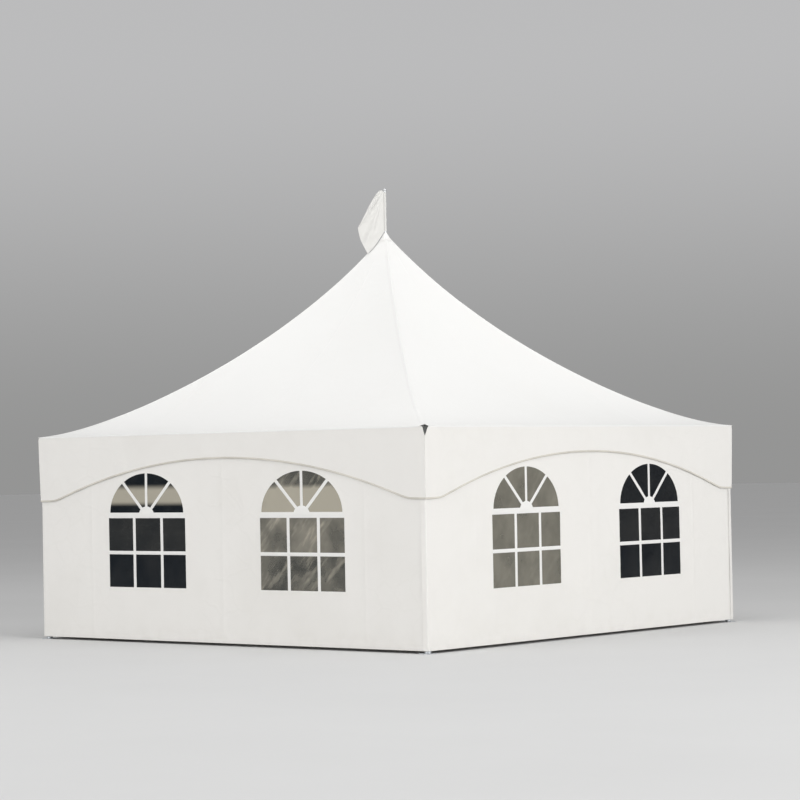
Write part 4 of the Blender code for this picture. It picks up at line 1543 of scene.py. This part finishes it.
@dataclass
class Peak:
    """The boot at the peak, and the limp flag on its staff, whose tail rests on the roof."""

    roof: Roof
    turn: float = math.radians(225)
    staff: float = 0.0125
    head: tuple[Pair, ...] = ((0.0147, 0.0), (0.105, 0.020), (0.222, 0.215), (0.343, 0.440))
    foot: tuple[Pair, ...] = ((0.0147, 0.486), (0.080, 0.585), (0.155, 0.685), (0.232, 0.762))
    thickness: float = 0.0012
    sleeve: float = 0.0024
    fold_depth: float = 0.014
    skirt: float = 0.026  # how much deeper the boot hangs on the faces than on the hips
    pleats: tuple[Pair, ...] = ((14, 0.0016), (5, 0.0006))  # number and depth: halfway up, and all over
    boot_room: float = 0.0026  # from the staff to the outside of the boot's neck
    lean: float = 0.034  # how far the tail hangs beside the hip
    rest: float = 0.005  # least height of the cloth over what it rests on
    cord: float = 0.0026  # radius
    cord_rows: tuple[Pair, ...] = ((0.0, 0.0062), (0.0052, 0.0084))  # how far down, and how far out
    columns: int = 60
    rows: int = 70
    flat: Pair = (0.56, 0.50)

    @property
    def top(self) -> float:
        """Height of the top of the hoist."""
        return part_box("flag")[1].z

    def spread(self, across: Array, down: Array) -> tuple[Array, Array]:
        """Reach from the staff and height of places on the flag, from hoist to fly and from top to bottom.

        The points of both edges are reaches from the staff and drops from the top of the hoist.
        """
        edges = []
        for points in (self.head, self.foot):
            reach, drop = (self.through(across, values) for values in zip(*points))
            edges.append((reach, self.top - drop))
        (reach, height), (low_reach, low_height) = edges
        belly = 0.020 * np.sin(math.pi * down) * across
        return reach * (1 - down) + low_reach * down + belly, height * (1 - down) + low_height * down

    @staticmethod
    def through(share: Array, values: Sequence[float]) -> Array:
        """The smooth curve through four values at even shares."""
        return np.polyval(np.polyfit(np.linspace(0, 1, 4), values, 3), share)

    def floor_height(self, points: Array) -> Array:
        """Height of the roof or the boot under points."""
        low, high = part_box("peak_boot")
        radius = np.hypot(points[:, 0], points[:, 1])
        cone = np.interp(radius, (self.staff, high.x), (high.z, low.z + 0.004))
        cone = np.where(radius < high.x + 0.004, cone, 0.0)
        return np.maximum(self.roof.height(points[:, 0], points[:, 1]) + 0.002, cone)

    def flag(self) -> Object:
        """The flag: folds fall from the top of the hoist and deepen towards the free edge."""
        across = np.linspace(0, 1, self.columns + 1)
        down = np.linspace(0, 1, self.rows + 1)
        grid_across, grid_down = (part.ravel() for part in np.meshgrid(across, down))
        reach, height = self.spread(grid_across, grid_down)
        angle = np.arctan2(reach + 0.005, self.top - height + 0.05)
        swing = ease(grid_across, 0.0, 0.55)
        folds = np.sin(angle * 21.0 + 0.9) + 0.45 * np.sin(angle * 37.0 + height * 5.0 + 2.0)
        ripple = 0.16 * np.sin(height * 47.0 + reach * 30.0)
        aside = self.fold_depth * swing * (folds * 0.72 + ripple)
        aside += self.lean * swing * ease(grid_down, 0.25, 0.9)
        out, beside = self.ways()
        points = reach[:, None] * out + aside[:, None] * beside + height[:, None] * UP
        points[:, 2] = np.maximum(points[:, 2], self.floor_height(points) + self.rest)
        faces = grid_faces(self.rows, self.columns, downwards=False)
        flat = np.stack([grid_across * self.flat[0], -grid_down * self.flat[1]], axis=1)
        return sheet_piece("flag_cloth", points, faces, flat, self.thickness)

    def ways(self) -> tuple[Array, Array]:
        """The way that the flag hangs, and the way across it."""
        out = np.array((math.cos(self.turn), math.sin(self.turn), 0.0))
        return out, np.cross(UP, out)

    def hoist_sleeve(self) -> Object:
        """The pocket round the staff, gathered a little where the cloth pulls."""
        heights = np.linspace(self.top - 0.002, self.top - self.foot[0][1] + 0.002, 60)
        angles = circle(32)
        rings = []
        for height in heights:
            pucker = 0.0007 * math.sin(height * 150) + 0.0005 * math.sin(height * 61)
            rings.append(around(self.staff + self.sleeve + pucker * np.cos(angles * 2), angles, height))
        rings += [around(self.staff + 0.0004, angles, height) for height in heights[::-1]]
        shape = Shape()
        shape.sweep(np.stack(rings), cyclic=True)
        return shape.build("flag_sleeve")

    def boot(self) -> Object:
        """The cloth cone round the staff, puckered under its tie, as one closed sheet."""
        low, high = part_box("peak_boot")
        rim, neck = high.x, self.staff + self.boot_room
        (deep_pleats, deep), (shallow_pleats, shallow) = self.pleats
        angles = circle(96)
        outer, inner = [], []
        for share in np.linspace(0, 1, 24):
            pleat = deep * math.sin(math.pi * share) * np.cos(angles * deep_pleats)
            radius = rim + (neck - rim) * share**0.8 + (pleat + shallow * np.cos(angles * shallow_pleats))
            skirt = (1 - share) ** 2 * self.skirt * np.abs(np.cos(2 * angles))
            height = low.z + 0.003 + (high.z - low.z - 0.003) * share - skirt
            outer.append(around(radius, angles, height))
            inner.append(around(radius - self.thickness, angles, height - self.thickness / 2))
        shape = Shape()
        shape.sweep(np.stack(outer + inner[::-1]), cyclic=True)
        return shape.build("boot_cloth")

    def tie(self) -> Object:
        """The drawn cord round the boot's neck."""
        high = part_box("peak_boot")[1].z - 0.010
        section = circle(10)
        shape = Shape()
        for down, out in self.cord_rows:
            far = self.staff + out + self.cord * np.cos(section)
            height = high - down + self.cord * np.sin(section)
            shape.sweep(np.stack([around(far, angle, height) for angle in circle(64)]), cyclic=True)
        return shape.build("boot_tie")

    def build(self) -> None:
        flag = finish_piece(self.flag(), PENNANT_CLOTH, Slot.FLAG, ["flag"])
        sleeve = finish_piece(self.hoist_sleeve(), PENNANT_CLOTH, Slot.FLAG)
        boot = finish_piece(self.boot(), TRIM_CLOTH, Slot.VINYL, ["peak_boot"])
        tie = finish_piece(self.tie(), THREAD, Slot.VINYL)


@dataclass
class Skeleton:
    """The frame's own nodes in their finishes, with the bolts and the cable fittings that hold them."""

    bolts: Recipe
    leg: float = 2.9735
    sleeve: float = 0.036
    tube_height: float = 2.4097
    foot_height: float = 2.150
    bolt_in: float = 0.100  # from a corner's middle to its beams' bolts
    bolt_down: float = 0.110  # from a beam's middle to the leg's upper bolt
    bolt_up: float = 0.040  # from the ground to its lower one
    mast_bolt: Pair = (0.045, 0.035)  # out from the axis, and down from the foot's top
    head: Pair = (0.0085, 0.0065)  # a bolt head's radius and height
    swage: tuple[Pair, ...] = ((0.0, 0.0068), (0.002, 0.0078), (0.046, 0.0078), (0.050, 0.0064))
    swage_start: float = 0.004
    buckle: tuple[Pair, ...] = (
        (0.0, 0.006), (0.004, 0.0105), (0.024, 0.0105), (0.030, 0.0085),
        (0.120, 0.0085), (0.126, 0.0105), (0.146, 0.0105), (0.150, 0.006),
    )
    buckle_start: float = 0.10

    def dress(self) -> None:
        """Gives every node that stays its finish."""
        finishes = {"mast": LEG_METAL, "mast_head": ZINC, "mast_foot": ZINC, "flag_staff": LEG_METAL}
        for side in Side:
            finishes[f"eave_beam_{side.label}"] = SIDE_RAIL_METAL if side.value % 180 else RAIL_METAL
            finishes[f"leg_{side.corner}"] = LEG_METAL
            finishes[f"base_plate_{side.corner}"] = ZINC
            finishes[f"corner_crown_{side.corner}"] = CASTING
            finishes[f"stay_cable_{side.corner}"] = self.rope(side)
        for name, finish in finishes.items():
            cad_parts[name].material_slots[0].material = finish.material()
            LOG.info("%s: %s", name, finish.name)

    def cable_ends(self, side: Side) -> tuple[Vector, Vector]:
        """The ends of the stay cable at a side's right corner, upper one first."""
        low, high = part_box(f"stay_cable_{side.corner}")
        x, y = (sorted(pair, key=abs) for pair in ((low.x, high.x), (low.y, high.y)))
        return Vector((x[1], y[1], high.z)), Vector((x[0], y[0], low.z))

    def rope(self, side: Side) -> LaidWire:
        """The finish of one stay cable, whose strands run along it."""
        far, near = self.cable_ends(side)
        along = far - near
        heading = math.atan2(along.y, along.x)
        slope = math.atan2(along.z, math.hypot(along.x, along.y))
        return LaidWire(f"wire_rope_{side.corner}", (0.50, 0.51, 0.52), 0.32, heading, slope, tuple(near))

    def fixings(self) -> Object:
        """Hexagonal bolts in the crowns' sleeves, low on the legs and round the mast's foot."""
        points, axes = [], []
        for side in Side:
            turn, inner = side.turn.to_3x3(), self.leg - self.sleeve
            spots = [
                ((self.leg - self.bolt_in, -inner, self.tube_height), (0, 1, 0)),
                ((inner, -self.leg + self.bolt_in, self.tube_height), (-1, 0, 0)),
                ((inner, -self.leg, self.tube_height - self.bolt_down), (-1, 0, 0)),
                ((inner, -self.leg, self.bolt_up), (-1, 0, 0)),
                ((self.mast_bolt[0], 0, self.foot_height - self.mast_bolt[1]), (1, 0, 0)),
            ]
            for place, axis in spots:
                points.append(turn @ Vector(place))
                axes.append(turn @ Vector(axis))
        values = {"Head radius": self.head[0], "Head height": self.head[1], "Finish": ZINC.material()}
        return self.bolts.make("frame_bolts", point_mesh("bolt_places", points, axes), values)

    def terminals(self) -> Object:
        """A swaged sleeve at both ends of each cable, and a turnbuckle near the lower one."""
        shape = Shape()
        for side in Side:
            far, near = self.cable_ends(side)
            along = (far - near).normalized()
            for start, way in ((far, -along), (near, along)):
                self.barrel(shape, start + way * self.swage_start, way, self.swage)
            self.barrel(shape, near + along * self.buckle_start, along, self.buckle)
        return shape.build("cable_fittings")

    @staticmethod
    def barrel(shape: Shape, start: Vector, way: Vector, profile: Sequence[Pair]) -> None:
        """Adds a turned barrel along a way, by a profile of reach and radius."""
        turn = np.array(way.to_track_quat("Z", "Y").to_matrix()).T
        angles = circle(20)
        rings = [around(radius, angles, reach) @ turn for reach, radius in profile]
        shape.sweep(np.stack(rings) + np.array(start))

    def build(self) -> None:
        """Dresses the nodes and adds the fixings."""
        self.dress()
        finish_piece(self.fixings(), ZINC, Slot.STEEL)
        finish_piece(self.terminals(), ZINC, Slot.STEEL)


# Studio


@dataclass(frozen=True)
class SoftLight:
    """A square soft light that looks from a place to a point."""

    name: str
    place: Triple
    aim: Triple
    side: float
    power: float  # watts

    def hang(self) -> None:
        """Puts the light in the scene."""
        data = bpy.data.lights.new(self.name, "AREA")
        data.shape = "SQUARE"
        data.size = self.side
        data.energy = self.power
        way = Vector(self.aim) - Vector(self.place)
        turn = way.to_track_quat("-Z", "Y").to_matrix().to_4x4()
        linked(self.name, data).matrix_world = Matrix.Translation(self.place) @ turn


@dataclass
class Studio:
    """Floor, soft light and the camera at the photograph's angle."""

    camera_place: Triple = (20.884, -24.942, 2.054)
    azimuth: float = 0.69278
    elevation: float = 0.02417
    roll: float = -0.01894
    focal: float = 2628.0  # in pixels of an 800 pixel frame
    frame_side: float = 800.0
    sensor: float = 36.0
    far_clip: float = 400.0
    sky: Triple = (0.50, 0.50, 0.505)
    horizon: Triple = (0.30, 0.30, 0.298)  # as the far floor looks
    horizon_band: Pair = (0.0, 0.16)  # sines of the heights between which it turns to sky
    floor_reach: float = 150.0
    lights: tuple[SoftLight, ...] = (
        SoftLight("top_light", (3.0, -3.0, 17.0), (0.0, 0.0, 3.0), 16.0, 915.0),
        SoftLight("side_light", (32.0, -4.0, 12.0), (0.0, 0.0, 1.5), 15.0, 6000.0),
        SoftLight("front_light", (-3.0, -34.0, 12.0), (0.0, 0.0, 1.5), 15.0, 4600.0),
    )

    def camera(self) -> None:
        """The camera, as the photograph has it."""
        data = bpy.data.cameras.new("camera")
        data.sensor_width = self.sensor
        data.lens = self.focal * self.sensor / self.frame_side
        data.clip_end = self.far_clip
        level, up = self.azimuth, self.elevation
        forth = Vector((-math.sin(level) * math.cos(up), math.cos(level) * math.cos(up), math.sin(up)))
        right = Vector((math.cos(level), math.sin(level), 0.0))
        above = right.cross(forth)
        turned = right * math.cos(self.roll) + above * math.sin(self.roll)
        raised = above * math.cos(self.roll) - right * math.sin(self.roll)
        turn = Matrix((turned, raised, -forth)).transposed().to_4x4()
        obj = linked("camera", data)
        obj.matrix_world = Matrix.Translation(self.camera_place) @ turn
        bpy.context.scene.camera = obj

    def floor(self) -> None:
        """A wide plain floor."""
        reach = self.floor_reach
        corners = [(-reach, -reach), (reach, -reach), (reach, reach), (-reach, reach)]
        mesh = bpy.data.meshes.new("floor")
        mesh.from_pydata([(x, y, 0.0) for x, y in corners], [], [(0, 1, 2, 3)])
        obj = linked("floor", mesh)
        mesh.materials.append(FLOOR.material())

    def build(self) -> None:
        """Sets up floor, sky, lights and camera."""
        scene = bpy.context.scene
        world = bpy.data.worlds.new("studio")
        world.use_nodes = True
        nodes = Nodes(world.node_tree)
        up = nodes.split(nodes.add("ShaderNodeTexCoord"))[2]
        shade = nodes.tint(nodes.ramp(up, *self.horizon_band), self.horizon, self.sky)
        world.node_tree.links.new(shade.socket, world.node_tree.nodes["Background"].inputs["Color"])
        scene.world = world
        scene.view_settings.view_transform = "Standard"
        self.floor()
        for light in self.lights:
            light.hang()
        self.camera()


def main() -> None:
    """Builds the studio, then the tent from the roof down."""
    logging.basicConfig(level=logging.INFO, format="%(message)s")
    plan, stitches = Plan.of_frame(), stitch_recipe()
    roof = Roof(plan)
    Studio().build()
    roof.build()
    Valance(plan, stitches).build()
    Walls(plan, Window(), stitches).build()
    Peak(roof).build()
    Skeleton(bolt_recipe()).build()


if __name__ == "__main__":
    main()
